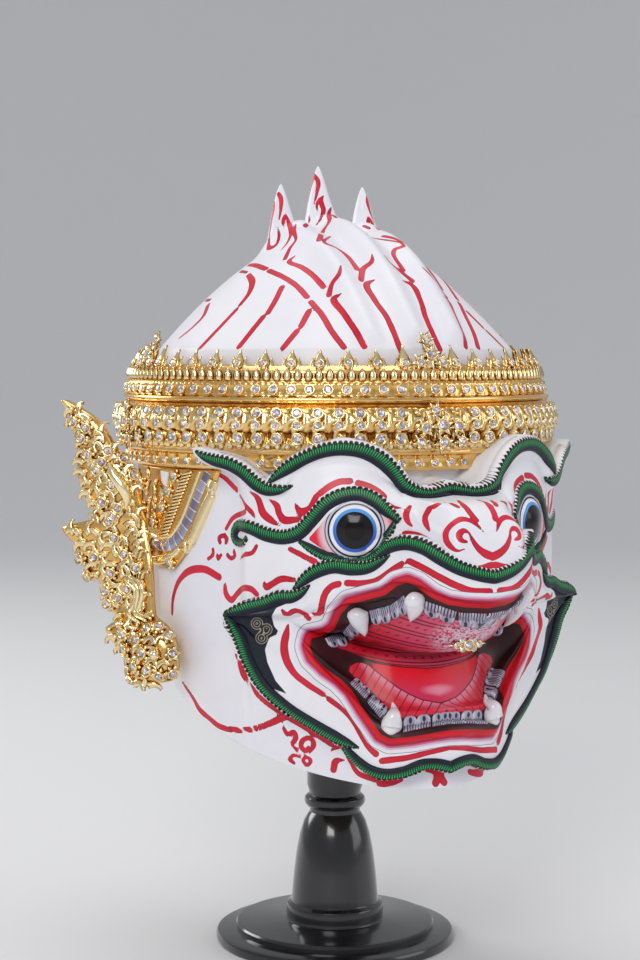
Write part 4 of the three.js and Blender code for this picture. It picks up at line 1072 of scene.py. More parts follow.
def raised_band(name, tree, stations, beads_left, to_middle, height):
    """A ridge along a line in the picture, and its mirror image; its beads can be on its left edge."""
    fine = smooth_line([(x, y, 0, w) for x, y, w in stations], 1.2)
    centre, half = [], []
    for x, y, _, width in fine:
        hit = tree.ray_cast(camera_place, sight_line(x, y))
        if hit[0] is not None:
            centre.append(tuple(hit[0]))
            half.append(max(width, 1.0) * PIXEL / 2)
    centre, half = np.array(centre), np.array(half)
    if to_middle:
        keep = centre[:, 0] < -0.15
        centre, half = centre[keep], half[keep]
        ends = (0, -1) if abs(centre[0, 0]) > abs(centre[-1, 0]) else (-1, 0)
        joint = centre[ends[1]] * np.array([0, 1, 1])
        if ends[1] == -1:
            centre, half = np.vstack([centre, joint]), np.append(half, half[-1])
        else:
            centre, half = np.vstack([joint, centre]), np.append(half[0], half)
    for _ in range(3):
        centre[1:-1] = (centre[:-2] + 2 * centre[1:-1] + centre[2:]) / 4
    along = np.concatenate([[0], np.cumsum(np.linalg.norm(np.diff(centre, axis=0), axis=1))])
    ahead = np.gradient(centre, axis=0)
    ahead /= np.linalg.norm(ahead, axis=1)[:, None]
    facing = np.array([tuple(tree.find_nearest(Vector(p))[1]) for p in centre])
    facing *= np.sign((facing * (np.array(camera_place) - centre)).sum(axis=1))[:, None]
    for _ in range(12):
        facing[1:-1] = (facing[:-2] + facing[1:-1] + facing[2:]) / 3
    facing /= np.linalg.norm(facing, axis=1)[:, None]
    left = np.cross(facing, ahead)
    left /= np.linalg.norm(left, axis=1)[:, None]
    if to_middle:
        end = 0 if centre[0, 0] == 0 else -1
        left[end] *= np.array([0, 1, 1])
        left[end] /= np.linalg.norm(left[end])
    shares = np.array([0, 0.02, 0.08, 0.18, 0.32, 0.48, 0.64, 0.78, 0.88, 0.95, 0.99, 1])
    lift = np.array([-0.8, 0.2, 0.62, 0.85, 0.97, 1, 0.97, 0.9, 0.8, 0.66, 0.3, -0.8])
    swell = np.minimum(1, half / 2.2)[:, None]
    places = centre[:, None] + left[:, None] * ((shares - 0.5) * 2)[None, :, None] * half[:, None, None]
    grounded = []
    for i, row in enumerate(places):
        for p in row:
            start = Vector(p + facing[i] * 7)
            hit = tree.ray_cast(start, Vector(-facing[i]), 14)
            flat = p if hit[0] is None else np.array(hit[0])
            shift = (flat - p) @ facing[i]
            grounded.append(p + facing[i] * np.clip(shift, -2.5, 2.5))
    places = np.array(grounded).reshape(places.shape)
    places = places + facing[:, None] * (lift[None, :] * height * swell)[..., None]
    rows, sides = places.shape[:2]
    points = np.vstack([places.reshape(-1, 3), (places - facing[:, None] * 3.0)[:, [0, -1]].reshape(-1, 3)])
    faces = []
    for i in range(rows - 1):
        for j in range(sides - 1):
            a = i * sides + j
            faces.append((a, a + 1, a + sides + 1, a + sides))
        base = rows * sides + 2 * i
        faces.append((i * sides, (i + 1) * sides, base + 2, base))
        faces.append((i * sides + sides - 1, base + 1, base + 3, (i + 1) * sides + sides - 1))
        faces.append((base, base + 2, base + 3, base + 1))
    for i, turn_round in ((0, 1), (rows - 1, -1)):
        rim = [i * sides + j for j in range(sides)] + [rows * sides + 2 * i + 1, rows * sides + 2 * i]
        faces.append(tuple(rim[::turn_round]))
    across = np.tile(shares if beads_left else 1 - shares, rows)
    across = np.concatenate([across, np.tile([0, 1] if beads_left else [1, 0], rows)])
    length = np.concatenate([np.repeat(along, sides), np.repeat(along, 2)])
    width = np.concatenate([np.repeat(half * 2, sides), np.repeat(half * 2, 2)])
    made = []
    for side, flip in BOTH_SIDES:
        piece = new_piece(name + "_" + side, points * np.array([flip, 1, 1]), faces)
        attribute(piece, "along", length)
        attribute(piece, "across", across)
        attribute(piece, "width", width)
        turn_outwards(piece)
        made.append(piece)
    return made


bands = []
for name, stations, beads_left, to_middle, height in [
    ("brow_band", BROW_BAND, False, True, BAND_HEIGHT), ("brow_tail", BROW_TAIL, True, False, BAND_HEIGHT),
    ("upper_lid", UPPER_LID, True, False, BAND_HEIGHT),
    ("lower_lid", LOWER_LID, False, False, BAND_HEIGHT * 0.8),
    ("lip_corner_band", LIP_CORNER, True, False, BAND_HEIGHT),
    ("lip_side_band", LIP_SIDE, True, False, BAND_HEIGHT),
    ("lip_front_band", LIP_FRONT, True, True, BAND_HEIGHT),
    ("jaw_side_band", JAW_SIDE, False, False, BAND_HEIGHT),
    ("jaw_front_band", JAW_FRONT, False, True, BAND_HEIGHT),
]:
    bands += raised_band(name, skin_tree, stations, beads_left, to_middle, height)

green = plain_material("green_band", (0.0, 0.08, 0.03), 0.45, Coat_Weight=0.05, Coat_Roughness=0.2,
                       Specular_IOR_Level=0.3)
work = Nodes(green)
along, across = work.named("along"), work.named("across")
ripple = work.spread(work.noise(120.0, 2.0), 0.5, -0.25)
place = work.plus(along, ripple)
slanted = work.plus(place, work.times(across, 1.3))
hatch = work.off_middle(work.over(slanted, BAND_BEAD_PITCH / 2))
fade = work.step(across, 0.46, 0.16)
green_base = work.blend(work.step(across, 0.36, 0.12), (0.006, 0.009, 0.022), (0.0, 0.045, 0.02))
hatched = work.blend(work.times(work.under(hatch, 0.17, 0.08), fade),
                     green_base, (0.05, 0.46, 0.13))
bead_x = work.times(work.minus(work.math("FRACT", work.over(place, BAND_BEAD_PITCH)), 0.5), BAND_BEAD_PITCH)
bead_y = work.times(work.minus(across, 0.87), work.named("width"))
bead = work.math("SQRT", work.squares(bead_x, bead_y))
outside = work.step(across, 0.86, 0.02)
edged = work.blend(outside, hatched, (0.84, 0.82, 0.86))
beaded = work.blend(work.under(bead, 0.98, 0.14), edged, (0.014, 0.008, 0.007))
work.colour(beaded)
work.roughness(work.spread(work.noise(80.0), 0.15, 0.38))
relief = work.minus(work.under(bead, 0.8, 0.5), work.times(hatch, 0.6))
work.bump(relief, 0.5, 0.0005)
for piece in bands:
    piece.data.materials.append(green)
    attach(piece, "root")


# Eyes
# Domed discs set between the lids, painted in rings and varnished: a black pupil, a near-black iris with a
# blue rim, the white, a black and lavender line round it, and scarlet corners.
EYE_MIDDLE = (354.8, 530.3)
EYE_OUTLINE = [(308, 539), (318, 528), (329, 514.5), (340, 505), (350, 500.5), (360, 500.5), (372, 506.5),
               (383, 516), (394.5, 521), (390, 532), (381, 546), (371, 555), (360, 558.5), (350, 559),
               (338, 557), (324, 550)]
EYEBALL_PIXELS = 25.5
EYEBALL_RISE = 1.9
EYE_SPOKES = 120


def outline_reach(middle, corners, angle):
    """How far the outline lies from its middle in one direction, in the picture."""
    direction = Vector((math.cos(angle), math.sin(angle)))
    best = 0.0
    for (ax, ay), (bx, by) in zip(corners, corners[1:] + corners[:1]):
        a, e = Vector((ax - middle[0], ay - middle[1])), Vector((bx - ax, by - ay))
        cross = direction.x * e.y - direction.y * e.x
        if abs(cross) > 1e-9:
            t = (a.x * e.y - a.y * e.x) / cross
            s = (a.x * direction.y - a.y * direction.x) / cross
            if t > 0 and -1e-6 <= s <= 1 + 1e-6:
                best = max(best, t)
    return best


eye_rings, eye_radii = [], []
eye_spokes = np.linspace(0, 2 * math.pi, EYE_SPOKES, endpoint=False)
reach_out = np.array([outline_reach(EYE_MIDDLE, EYE_OUTLINE, a) for a in eye_spokes])
ring_shares = [0.03, *np.linspace(0.08, 1, 34)]
for share, sunk in [(s, True) for s in (0.03, 0.5, 1.0)] + [(s, False) for s in reversed(ring_shares)]:
    ring = []
    for angle, far in zip(eye_spokes, reach_out):
        wide = share * far
        x, y = EYE_MIDDLE[0] + wide * math.cos(angle), EYE_MIDDLE[1] + wide * math.sin(angle)
        point, normal, _, _ = skin_tree.ray_cast(camera_place, sight_line(x, y))
        if normal.dot(camera_place - point) < 0:
            normal = -normal
        dome = EYEBALL_RISE * max(0, 1 - (wide / EYEBALL_PIXELS) ** 2) + 0.35
        ring.append(tuple(point + toward_camera * (-1.5 if sunk else dome)))
        eye_radii.append(wide)
    eye_rings.append(ring)
eye_points, eye_faces = closed_rings(eye_rings)
eye_radii += [0, 0]

eye_paint = plain_material("painted_eye", (0.85, 0.86, 0.9), 0.18, Coat_Weight=0.12, Coat_Roughness=0.05,
                           Specular_IOR_Level=0.25)
work = Nodes(eye_paint)
radius = work.plus(work.named("eye_radius"), work.spread(work.noise(150.0, 2.0), 0.3, -0.15))
height = work.add("SeparateXYZ", Vector=work.place()).outputs["Z"]
# painted light: the blue rim is painted lighter in its upper half and darker in its lower half
blue_lit_from_above = work.blend(work.step(height, 0.242, 0.008), (0.035, 0.13, 0.56), (0.11, 0.36, 0.82))
shade = work.blend(work.step(radius, 36.0, 4.0), (0.80, 0.55, 0.60), (0.76, 0.02, 0.05))
for limit, colour in [(30.4, (0.03, 0.02, 0.03)), (29.4, (0.58, 0.56, 0.68)), (27.3, (0.012, 0.01, 0.012)),
                      (25.4, (0.86, 0.87, 0.92)), (22.0, blue_lit_from_above), (18.7, (0.010, 0.008, 0.010)),
                      (10.4, (0.0015, 0.0015, 0.002))]:
    shade = work.blend(work.under(radius, limit, 0.35), shade, colour)
work.colour(shade)
work.roughness(work.spread(work.noise(60.0), 0.08, 0.12))
for side, flip in BOTH_SIDES:
    eye = new_piece("eye_" + side, np.asarray(eye_points) * np.array([flip, 1, 1]), eye_faces)
    attribute(eye, "eye_radius", eye_radii)
    turn_outwards(eye)
    eye.data.materials.append(eye_paint)
    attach(eye, "root")


# Teeth
# Pairs of low teeth pressed from mother-of-pearl and set along the dark gums, their roots combed with
# fine lines and each tip marked with a dark dot.
TOOTH_PAIRS = [
    ((325, 638.5), (342, 633), (330, 648), (349, 646)),
    ((343, 631.5), (352, 621), (350, 641.5), (361, 632)),
    ((369, 610.5), (388.5, 605.5), (373, 625), (392, 622)),
    ((389.5, 605.5), (404, 595.5), (393, 620), (409, 613)),
    ((424.5, 600.5), (456.5, 611.5), (424, 614.5), (453.5, 624)),
    ((459, 612.5), (486.5, 613.5), (458.5, 626), (485, 628)),
    ((350.5, 683), (365.5, 698.5), (356, 677), (372, 691)),
    ((367.5, 701.5), (381.5, 718.5), (373.5, 693.5), (389, 710)),
    ((403.5, 732.4), (430.6, 726.6), (403, 716.5), (430, 713.5)),
    ((432.6, 726.6), (454.4, 723.3), (432, 713.5), (454.4, 711)),
]
TOOTH_STEPS = (30, 11)
tooth_points, tooth_faces, tooth_along, tooth_across = [], [], [], []
for flip in (1, -1):
    for root_a, root_b, tip_a, tip_b in TOOTH_PAIRS:
        start = len(tooth_points)
        top, base = [], []
        for i in range(TOOTH_STEPS[0] + 1):
            s = i / TOOTH_STEPS[0]
            lobe = abs(2 * ((2 * s) % 1) - 1) if 0 < s < 1 else 1.0
            for j in range(TOOTH_STEPS[1] + 1):
                t = j / TOOTH_STEPS[1]
                reach = t * (1 - 0.34 * lobe ** 3.5)
                root = Vector(root_a).lerp(Vector(root_b), s)
                tip = Vector(tip_a).lerp(Vector(tip_b), s)
                x, y = root.lerp(tip, reach)
                point, normal, _, _ = skin_tree.ray_cast(camera_place, sight_line(x, y))
                if point is None:
                    point, normal = camera_place + sight_line(x, y) * 980, toward_camera
                if normal.dot(toward_camera) < 0:
                    normal = -normal
                rounding = math.sqrt(max(0, 1 - lobe ** 4)) * (1 - max(0, (t - 0.75) / 0.25) ** 2 * 0.6)
                for store, lift in ((top, 0.35 + 0.9 * rounding), (base, -0.8)):
                    p = point + normal * lift
                    store.append((flip * p.x, p.y, p.z))
                tooth_along.append(s)
                tooth_across.append(t)
        tooth_along += tooth_along[-len(top):]
        tooth_across += tooth_across[-len(top):]
        tooth_points += top + base
        n, m = TOOTH_STEPS[0] + 1, TOOTH_STEPS[1] + 1
        for i in range(n - 1):
            for j in range(m - 1):
                a = start + i * m + j
                tooth_faces.append((a, a + 1, a + m + 1, a + m))
                a += n * m
                tooth_faces.append((a, a + m, a + m + 1, a + 1))
        rim = ([(i, 0) for i in range(n - 1)] + [(n - 1, j) for j in range(m - 1)]
               + [(i, m - 1) for i in range(n - 1, 0, -1)] + [(0, j) for j in range(m - 1, 0, -1)])
        for (i0, j0), (i1, j1) in zip(rim, rim[1:] + rim[:1]):
            a, b = start + i0 * m + j0, start + i1 * m + j1
            tooth_faces.append((a, b, b + n * m, a + n * m))
teeth = new_piece("teeth", tooth_points, tooth_faces)
attribute(teeth, "along", tooth_along)
attribute(teeth, "across", tooth_across)
turn_outwards(teeth)
pearl = plain_material("tooth_pearl", (0.6, 0.58, 0.7), 0.3, Coat_Weight=0.3, Coat_Roughness=0.15)
work = Nodes(pearl)
along, across = work.named("along"), work.named("across")
lobe = work.minus(work.math("FRACT", work.times(along, 2.0)), 0.5)
tooth_base = work.blend(work.step(work.math("ABSOLUTE", lobe), 0.33, 0.1), (0.36, 0.34, 0.47),
                        (0.60, 0.58, 0.70))
comb = work.off_middle(work.times(along, 10.0))
combed = work.times(work.under(comb, 0.2, 0.07), work.under(across, 0.5, 0.05))
dot_y = work.times(work.minus(across, 0.72), 0.62)
dot = work.squares(lobe, dot_y)
toothed = work.blend(combed, tooth_base, (0.02, 0.018, 0.035))
work.colour(work.blend(work.under(dot, 0.016, 0.006), toothed, (0.008, 0.008, 0.015)))
work.roughness(work.spread(work.noise(120.0), 0.15, 0.22))
teeth.data.materials.append(pearl)
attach(teeth, "root")


# Fangs
# Six drops of polished mother-of-pearl, pegged into the gums and curling out over the lips.
def swept(stations, sides, steps, flatten=1.0, across=(1, 0, 0)):
    """Rings along a smooth curve of (x, y, z, radius) stations in mm."""
    fine = smooth_line(np.asarray(stations, float), 0.05)
    at = np.linspace(0, len(fine) - 1, steps)
    fine = np.array([np.interp(at, np.arange(len(fine)), fine[:, k]) for k in range(4)]).T
    ahead = np.gradient(fine[:, :3], axis=0)
    ahead /= np.maximum(np.linalg.norm(ahead, axis=1), 1e-9)[:, None]
    side = np.cross(ahead, np.asarray(across, float))
    side /= np.maximum(np.linalg.norm(side, axis=1), 1e-9)[:, None]
    up = np.cross(side, ahead)
    angle = np.linspace(0, 2 * math.pi, sides, endpoint=False)
    return (fine[:, None, :3] + fine[:, 3][:, None, None] * (
        side[:, None] * np.cos(angle)[None, :, None] * flatten + up[:, None] * np.sin(angle)[None, :, None]))


FANGS = {
    "upper_outer_fang": [(357.3, 607.5, 1.2, 1.3), (357.3, 611, 2.2, 4.6), (358.6, 617, 3.2, 5.1),
                         (361, 624, 3.9, 3.9), (363.6, 630, 4.4, 2.1), (364.6, 635, 4.6, 0.35)],
    "upper_inner_fang": [(412.5, 592.8, 1.2, 1.3), (413.5, 596.5, 2.2, 4.5), (414.5, 602.5, 3.2, 5.0),
                         (413.8, 609.5, 3.9, 3.9), (411.6, 615.5, 4.4, 2.1), (410, 620.3, 4.6, 0.35)],
    "lower_fang": [(391, 732.6, 1.2, 1.3), (391, 728.5, 2.2, 4.7), (391.6, 722.5, 3.2, 5.2),
                   (393.2, 715, 3.9, 3.9), (393.6, 707.5, 4.4, 2.0), (392.2, 700.5, 4.6, 0.35)],
}
fang_shell = plain_material("polished_shell", (0.84, 0.83, 0.85), 0.16, Coat_Weight=0.6, Coat_Roughness=0.06,
                            Subsurface_Weight=0.0)
work = Nodes(fang_shell)
lustre = work.noise(45.0, 4.0, 0.6)
work.colour(work.blend(work.step(lustre, 0.5, 0.22), (0.86, 0.85, 0.86), (0.66, 0.65, 0.72)))
work.roughness(work.spread(lustre, 0.2, 0.08))
for kind, stations in FANGS.items():
    placed = []
    for x, y, lift, thick in stations:
        point = on_surface(skin_tree, x, y)
        placed.append((*(point + toward_camera * lift), thick))
    points, faces = closed_rings(swept(placed, 20, 26, flatten=0.9, across=camera_right))
    for side, flip in BOTH_SIDES:
        fang = new_piece(kind + "_drop_" + side, points * np.array([flip, 1, 1]), faces)
        turn_outwards(fang)
        fang.data.materials.append(fang_shell)
        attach(fang, "root")
        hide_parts(kind + "_" + side)


# Gilt bands
# Two rings of lacquer pressed in stone moulds, gilded, and set with cut glass in round collars; the upper one
# ends in a row of petals and a crest of pointed leaves, and each has a spray of stones at the four quarters.
DIADEM_FOOT = 267
BAND_INNER = 108.5
FRIEZE_PITCH = 5  # degrees between the stones of the frieze
CORONET_STONES = 78
FOOT_STONES = 80
PETALS = 132
LEAVES = 48
DIADEM_COLUMNS = 72 * 16
CORONET_COLUMNS = CORONET_STONES * 14
RING_DETAIL = 0.8
DIADEM_PROFILE = [(112.4, 267), (113.4, 268.2), (113.4, 273.4), (114.2, 274.6), (116, 275.2), (116.4, 276.2),
                  (115.8, 277.2), (117.2, 278.6), (118.4, 281), (118.6, 285.6), (120.2, 287.2), (120.9, 289),
                  (120.9, 291.6), (120.2, 293.4), (119.6, 296), (117.6, 298.4), (114.6, 299.4),
                  (114.4, 300.2), (108.5, 300.2), (108.5, 267)]
CORONET_PROFILE = [(106, 300.5), (113.4, 300.5), (115.2, 301.3), (115.6, 302.4), (115.2, 303.5),
                   (113.6, 304.1), (113.8, 305), (114, 310.2), (113.2, 311.2), (112.2, 312), (111.8, 316.6),
                   (109.6, 318.6), (107.6, 319.8), (103, 319.8), (103, 316.8), (106, 314.6)]


def around(angle, radius, z):
    turn = np.radians(angle)
    return np.stack(np.broadcast_arrays(radius * np.sin(turn), -radius * np.cos(turn), z), axis=-1)


def relief_ring(name, profile, columns, relief, spacing):
    """A ring with relief on its outer face, closed over its top, back and foot."""
    outline = []
    for (r0, z0), (r1, z1) in zip(profile, profile[1:] + profile[:1]):
        fine = max(1, round(math.hypot(r1 - r0, z1 - z0) / spacing)) if min(r0, r1) > BAND_INNER + 1 else 1
        outline += [(r0 + (r1 - r0) * i / fine, z0 + (z1 - z0) * i / fine) for i in range(fine)]
    outline = np.array(outline)
    outside = (outline[:, 0] > BAND_INNER + 1)[:, None]
    angle = np.linspace(-180, 180, columns, endpoint=False)[None]
    height = relief(angle, outline[:, 1:]) * outside
    points = around(angle, outline[:, :1] + height, outline[:, 1:]).reshape(-1, 3)
    ring = new_piece(name, points, grid_faces(len(outline), columns, closed=True))
    # how proud each place is, which the gilding paints as shade in the hollows and highlight on the tops
    attribute(ring, "relief", np.clip(0.5 + height / 2.2, 0, 1).ravel())
    turn_outwards(ring)
    return ring


def leaf_shape(rows, curl, depth=1.0):
    """A pointed leaf one unit long and one wide, its rib proud; rows give [share of its length, width]."""
    rings, relief = [], []
    for along, wide in rows:
        lift = curl * along ** 2
        rings.append([(-0.5 * wide, along, lift), (-0.28 * wide, along, lift + 0.34 * depth * wide ** 0.5),
                      (0, along, lift + depth * wide ** 0.5),
                      (0.28 * wide, along, lift + 0.34 * depth * wide ** 0.5), (0.5 * wide, along, lift),
                      (0, along, lift - 0.5)])
        # how light the gilding is painted: painted highlight on the rib, painted shade at the edges and
        # underneath
        relief += [0.2, 0.62, 1.0, 0.62, 0.2, 0.0]
    points, faces = closed_rings(rings)
    return points, faces, np.array(relief + [0.3, 1.0])


LEAF = leaf_shape([(0, 0.62), (0.2, 1), (0.45, 0.86), (0.72, 0.4), (1, 0.03)], 0.25)
PETAL = leaf_shape([(0, 0.7), (0.22, 1), (0.5, 0.95), (0.8, 0.45), (1, 0.06)], 0.0, 1.1)


def collar_shape():
    turn = np.linspace(0, 2 * math.pi, 10, endpoint=False)
    rings = [np.stack([r * np.cos(turn), r * np.sin(turn), np.full(10, z)], axis=-1)
             for r, z in ((1.3, -0.7), (1.42, 0.05), (1.24, 0.42), (1.0, 0.12))]
    points, faces = closed_rings(rings)
    # how light the gilding is painted round each collar: painted highlight on its lip, painted shade at its
    # foot and inside
    return points, faces, np.array([0.0] * 10 + [0.5] * 10 + [1.0] * 10 + [0.3] * 10 + [0, 0.2])


def stone_shape():
    turn = np.linspace(0, 2 * math.pi, 8, endpoint=False)
    rings = [np.stack([r * np.cos(turn + shift), r * np.sin(turn + shift), np.full(8, z)], axis=-1)
             for r, z, shift in ((0.6, -0.4, 0), (1.0, 0.05, 0), (0.56, 0.5, math.pi / 8))]
    return (*closed_rings(rings), np.zeros(26))


COLLAR = collar_shape()
STONE = stone_shape()


def copies(shape, centres, ups, outs, widths, lengths, depths):
    """Copies of a shape, each with its own place, direction and size in mm."""
    points, faces, relief = shape
    centres, ups, outs = (np.atleast_2d(np.asarray(v, float)) for v in (centres, ups, outs))
    outs = outs / np.linalg.norm(outs, axis=1)[:, None]
    sides = np.cross(ups, outs)
    sides /= np.linalg.norm(sides, axis=1)[:, None]
    ups = np.cross(outs, sides)
    size = [np.broadcast_to(v, len(centres))[:, None, None] for v in (widths, lengths, depths)]
    placed = (centres[:, None] + sides[:, None] * points[None, :, :1] * size[0]
              + ups[:, None] * points[None, :, 1:2] * size[1] + outs[:, None] * points[None, :, 2:] * size[2])
    every = [[i + k * len(points) for i in face] for k in range(len(centres)) for face in faces]
    return placed.reshape(-1, 3), every, np.tile(relief, len(centres))


def joined(parts):
    points, faces, relief, start = [], [], [], 0
    for p, f, r in parts:
        points.append(p)
        faces += [[i + start for i in face] for face in f]
        relief.append(r)
        start += len(p)
    return np.vstack(points), faces, np.concatenate(relief)


gilding = plain_material("gilding", (0.93, 0.68, 0.27), 0.24, Metallic=1.0)
work = Nodes(gilding)
# painted shade and painted highlight: the relief attribute makes the gilt dark orange in hollows and pale
# cream on the proudest parts; the patina noise adds wear at random
relief = work.named("relief")
patina = work.noise(55.0, 5.0, 0.6)
worn = work.spread(patina, 0.35, -0.17)
relief_shade_and_wear = work.math("ADD", relief, worn, clamp=True)
deep = work.blend(work.step(relief_shade_and_wear, 0.22, 0.2), (0.30, 0.115, 0.02), (0.86, 0.52, 0.15))
work.colour(work.blend(work.step(relief_shade_and_wear, 0.62, 0.28), deep, (1.0, 0.86, 0.52)))
work.roughness(work.spread(patina, 0.2, 0.12))
work.bump(work.noise(420.0, 4.0, 0.65), 0.25, 0.0004)

stone_glass = plain_material("cut_glass", (0.8, 0.78, 0.9), 0.04, Coat_Weight=1.0, Coat_Roughness=0.02,
                             Specular_IOR_Level=0.9)
work = Nodes(stone_glass)
# each facet gets a random painted brightness, dark lavender to pale, and the brightest go white: painted
# glints and reflections
painted_glint = work.named("facet_glint")
work.colour(work.blend(work.step(painted_glint, 0.72, 0.05), work.blend(painted_glint, (0.20, 0.18, 0.30),
                                                                (0.74, 0.71, 0.86)),
                       (1.0, 1.0, 1.0)))
work.roughness(work.spread(work.noise(200.0), 0.08, 0.02))


def gilt_piece(name, parts, node, flip=1):
    points, faces, relief_for_shade = joined(parts)
    made = new_piece(name, points * np.array([flip, 1, 1]), faces)
    # the relief values set the gilding's painted shade and painted highlight
    attribute(made, "relief", relief_for_shade)
    turn_outwards(made)
    made.data.materials.append(gilding)
    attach(made, "root")
    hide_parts(node)
    return made


GLINT_SEED = 7


def stone_piece(name, centres, outs, radii, flip=1):
    """Cut stones, each a table, crown and girdle, with some facets painted bright and some painted dark:
    painted glints and reflections.
    """
    outs = np.atleast_2d(np.asarray(outs, float))
    up = np.where(np.abs(outs[:, 2:]) > 0.9, [[0, 1.0, 0]], [[0, 0, 1.0]])
    points, faces, _ = copies(STONE, centres, up, outs, radii, radii, radii)
    made = new_piece(name, points * np.array([flip, 1, 1]), faces, smooth=False)
    turn_outwards(made)
    # a random painted brightness for each facet, which the cut glass shows as painted glints
    facet_glints = made.data.attributes.new("facet_glint", "FLOAT", "FACE")
    facet_glints.data.foreach_set("value", np.random.default_rng(GLINT_SEED).random(len(faces)).astype(np.float32))
    made.data.materials.append(stone_glass)
    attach(made, "root")
    return made


FAR_OUT = 40
SKIN_CLEARANCE = 0.4


def clear_of_skin(angle, radius, z):
    """Whether a place on the bands stands in front of the painted skin."""
    outside = Vector(around(angle, radius + FAR_OUT, z))
    hit = skin_tree.ray_cast(outside, Vector(-around(angle, 1.0, 0.0)))[0]
    return hit is None or math.hypot(hit.x, hit.y) < radius + SKIN_CLEARANCE


def bell(value, centre, half):
    return np.clip(1 - ((value - centre) / half) ** 2, 0, None)


def diadem_relief(angle, z):
    across = (angle / FRIEZE_PITCH - np.round(angle / FRIEZE_PITCH)) * FRIEZE_PITCH * math.radians(1) * 120
    height = 0
    for middle, reach, turns in ((283.3, 5.4, 1), (290, 4.2, -1), (296, 4.4, 1)):
        apart = np.hypot(across, z - middle)
        swirl = 0.5 + 0.5 * np.cos(3 * np.arctan2(z - middle, across) * turns + apart * 1.7)
        height = height + (swirl - 0.5) * 1.5 * np.clip((reach + 1.2 - apart) / 1.5, 0, 1) * (apart > 1.6)
    height = height - 1.1 * bell(z, 283.2, 3.8) * np.clip((np.abs(across) - 2.6) / 1.2, 0, 1)
    small = np.cos(np.radians(angle) * FOOT_STONES)
    return height * (z > 277.4) * (z < 299) + 0.35 * small * bell(z, 270.8, 2.2) * (z < 274)


def coronet_relief(angle, z):
    small = np.cos(np.radians(angle) * CORONET_STONES)
    fringe = np.cos(np.radians(angle) * CORONET_STONES * 3)
    return 0.35 * small * bell(z, 307.5, 2.4) + 0.3 * fringe * (bell(z, 305, 0.7) + bell(z, 310.2, 0.7))


diadem_ring = relief_ring("diadem_ring", DIADEM_PROFILE, DIADEM_COLUMNS, diadem_relief, RING_DETAIL)
coronet_ring = relief_ring("coronet_ring", CORONET_PROFILE, CORONET_COLUMNS, coronet_relief, RING_DETAIL)
for ring, node in ((diadem_ring, "diadem"), (coronet_ring, "coronet")):
    ring.data.materials.append(gilding)
    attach(ring, "root")
    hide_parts(node)

stones = {"diadem": [], "coronet": []}
steps = np.arange(-180, 180, FRIEZE_PITCH)
for z, radius, size in ((283.3, 118.9, 2.35), (290, 121.0, 1.9), (296, 119.6, 2.15)):
    stones["diadem"] += [(a, radius, z, size) for a in steps]
stones["diadem"] += [(360 * i / FOOT_STONES, 113.9, 270.8, 1.75) for i in range(FOOT_STONES)]
stones["coronet"] += [(360 * i / CORONET_STONES, 114.4, 307.5, 2.05) for i in range(CORONET_STONES)]
stones["coronet"] += [(360 * i / LEAVES, 110.2, 320.7, 1.7) for i in range(LEAVES)]
# The spray at each quarter: degrees from its middle, height over the floor, how far out, and the stone's size
SPRAY = [(0, 290, 122.4, 2.5), (4.4, 289.4, 121.9, 2.1), (-4.2, 288.6, 121.9, 2.1), (0.6, 281.2, 121.4, 2.3),
         (5.8, 281.8, 120.8, 1.9), (-5.2, 281.4, 120.8, 1.9), (-1.4, 297, 120.6, 1.9), (0, 325, 109.6, 2.3),
         (3.2, 321, 110.8, 1.9), (-3.2, 321, 110.8, 1.9), (0, 332, 104.5, 1.9)]
SPRAY_REACH = 7
quarters = (0, 90, 180, 270)
for band, foot, top in (("diadem", 0, 300), ("coronet", 300, 400)):
    near = [n for n in SPRAY if foot < n[1] < top]
    kept = [s for s in stones[band] if min(apart(s[0], q) for q in quarters) >= SPRAY_REACH
            or all(abs(s[2] - n[1]) >= 6 for n in near)]
    stones[band] = kept + [(q + n[0], n[2], n[1], n[3]) for q in quarters for n in near]
    stones[band] = [s for s in stones[band] if clear_of_skin(s[0], s[1], s[2])]
    angle, radius, z, size = np.array(stones[band]).T
    out = around(angle, 1.0, np.where(z > 312, 0.45, np.where(z > 294, 0.3, 0.0)))
    places = around(angle, radius, z)
    up = np.broadcast_to([0, 0, 1.0], places.shape)
    stone_piece(band + "_stones", places, out, size)
    parts = [copies(COLLAR, places, up, out, size, size, size)]
    flowers = [(q + n[0], n[2] - 0.9, n[1], n[3]) for q in quarters for n in near]
    flowers = [f for f in flowers if clear_of_skin(f[0], f[1], f[2])]
    for angle, radius, z, size in flowers:
        for turn in range(6):
            lean = math.radians(60 * turn + 20)
            tangent = around(angle + 90, 1.0, 0.0)
            up = tangent * math.sin(lean) + np.array([0, 0, 1.0]) * math.cos(lean)
            parts.append(copies(LEAF, around(angle, radius, z) + up * size * 0.7, up, around(angle, 1.0, 0.1),
                                size * 1.5, size * 2.0, 1.3))
    if band == "coronet":
        angle = np.arange(PETALS) * 360 / PETALS
        up, out = around(angle, -0.12, 1.0), around(angle, 1.0, 0.12)
        parts.append(copies(PETAL, around(angle, 112.6, 312.0), up, out, 4.6, 6.4, 1.5))
        angle = np.arange(LEAVES) * 360 / LEAVES
        up, out = around(angle, -0.42, 1.0), around(angle, 1.0, 0.42)
        tall = np.where(np.abs((angle + 45) % 90 - 45) < 0.1, 1.5, np.where(
            np.abs((angle + 45) % 90 - 45) < 8, 1.2, 1.0))
        parts.append(copies(LEAF, around(angle, 109.8, 317.2), up, out, 7.0 * tall ** 0.5, 11.2 * tall, 1.9))
        for shift, long in ((-0.9, 7.6), (0.9, 7.6)):
            parts.append(copies(LEAF, around(angle + shift * 2, 109.4, 316.8), up, out, 3.6, long, 1.2))
    else:
        angle = np.array([a for a in np.arange(-180, 180, FRIEZE_PITCH / 2) if clear_of_skin(a, 116, 279)])
        up, out = around(angle, 0.25, 1.0), around(angle, 1.0, -0.25)
        parts.append(copies(LEAF, around(angle, 117.0, 278.0), up, out, 4.2, 4.6, 1.4))
    gilt_piece(band + "_settings", parts, band)


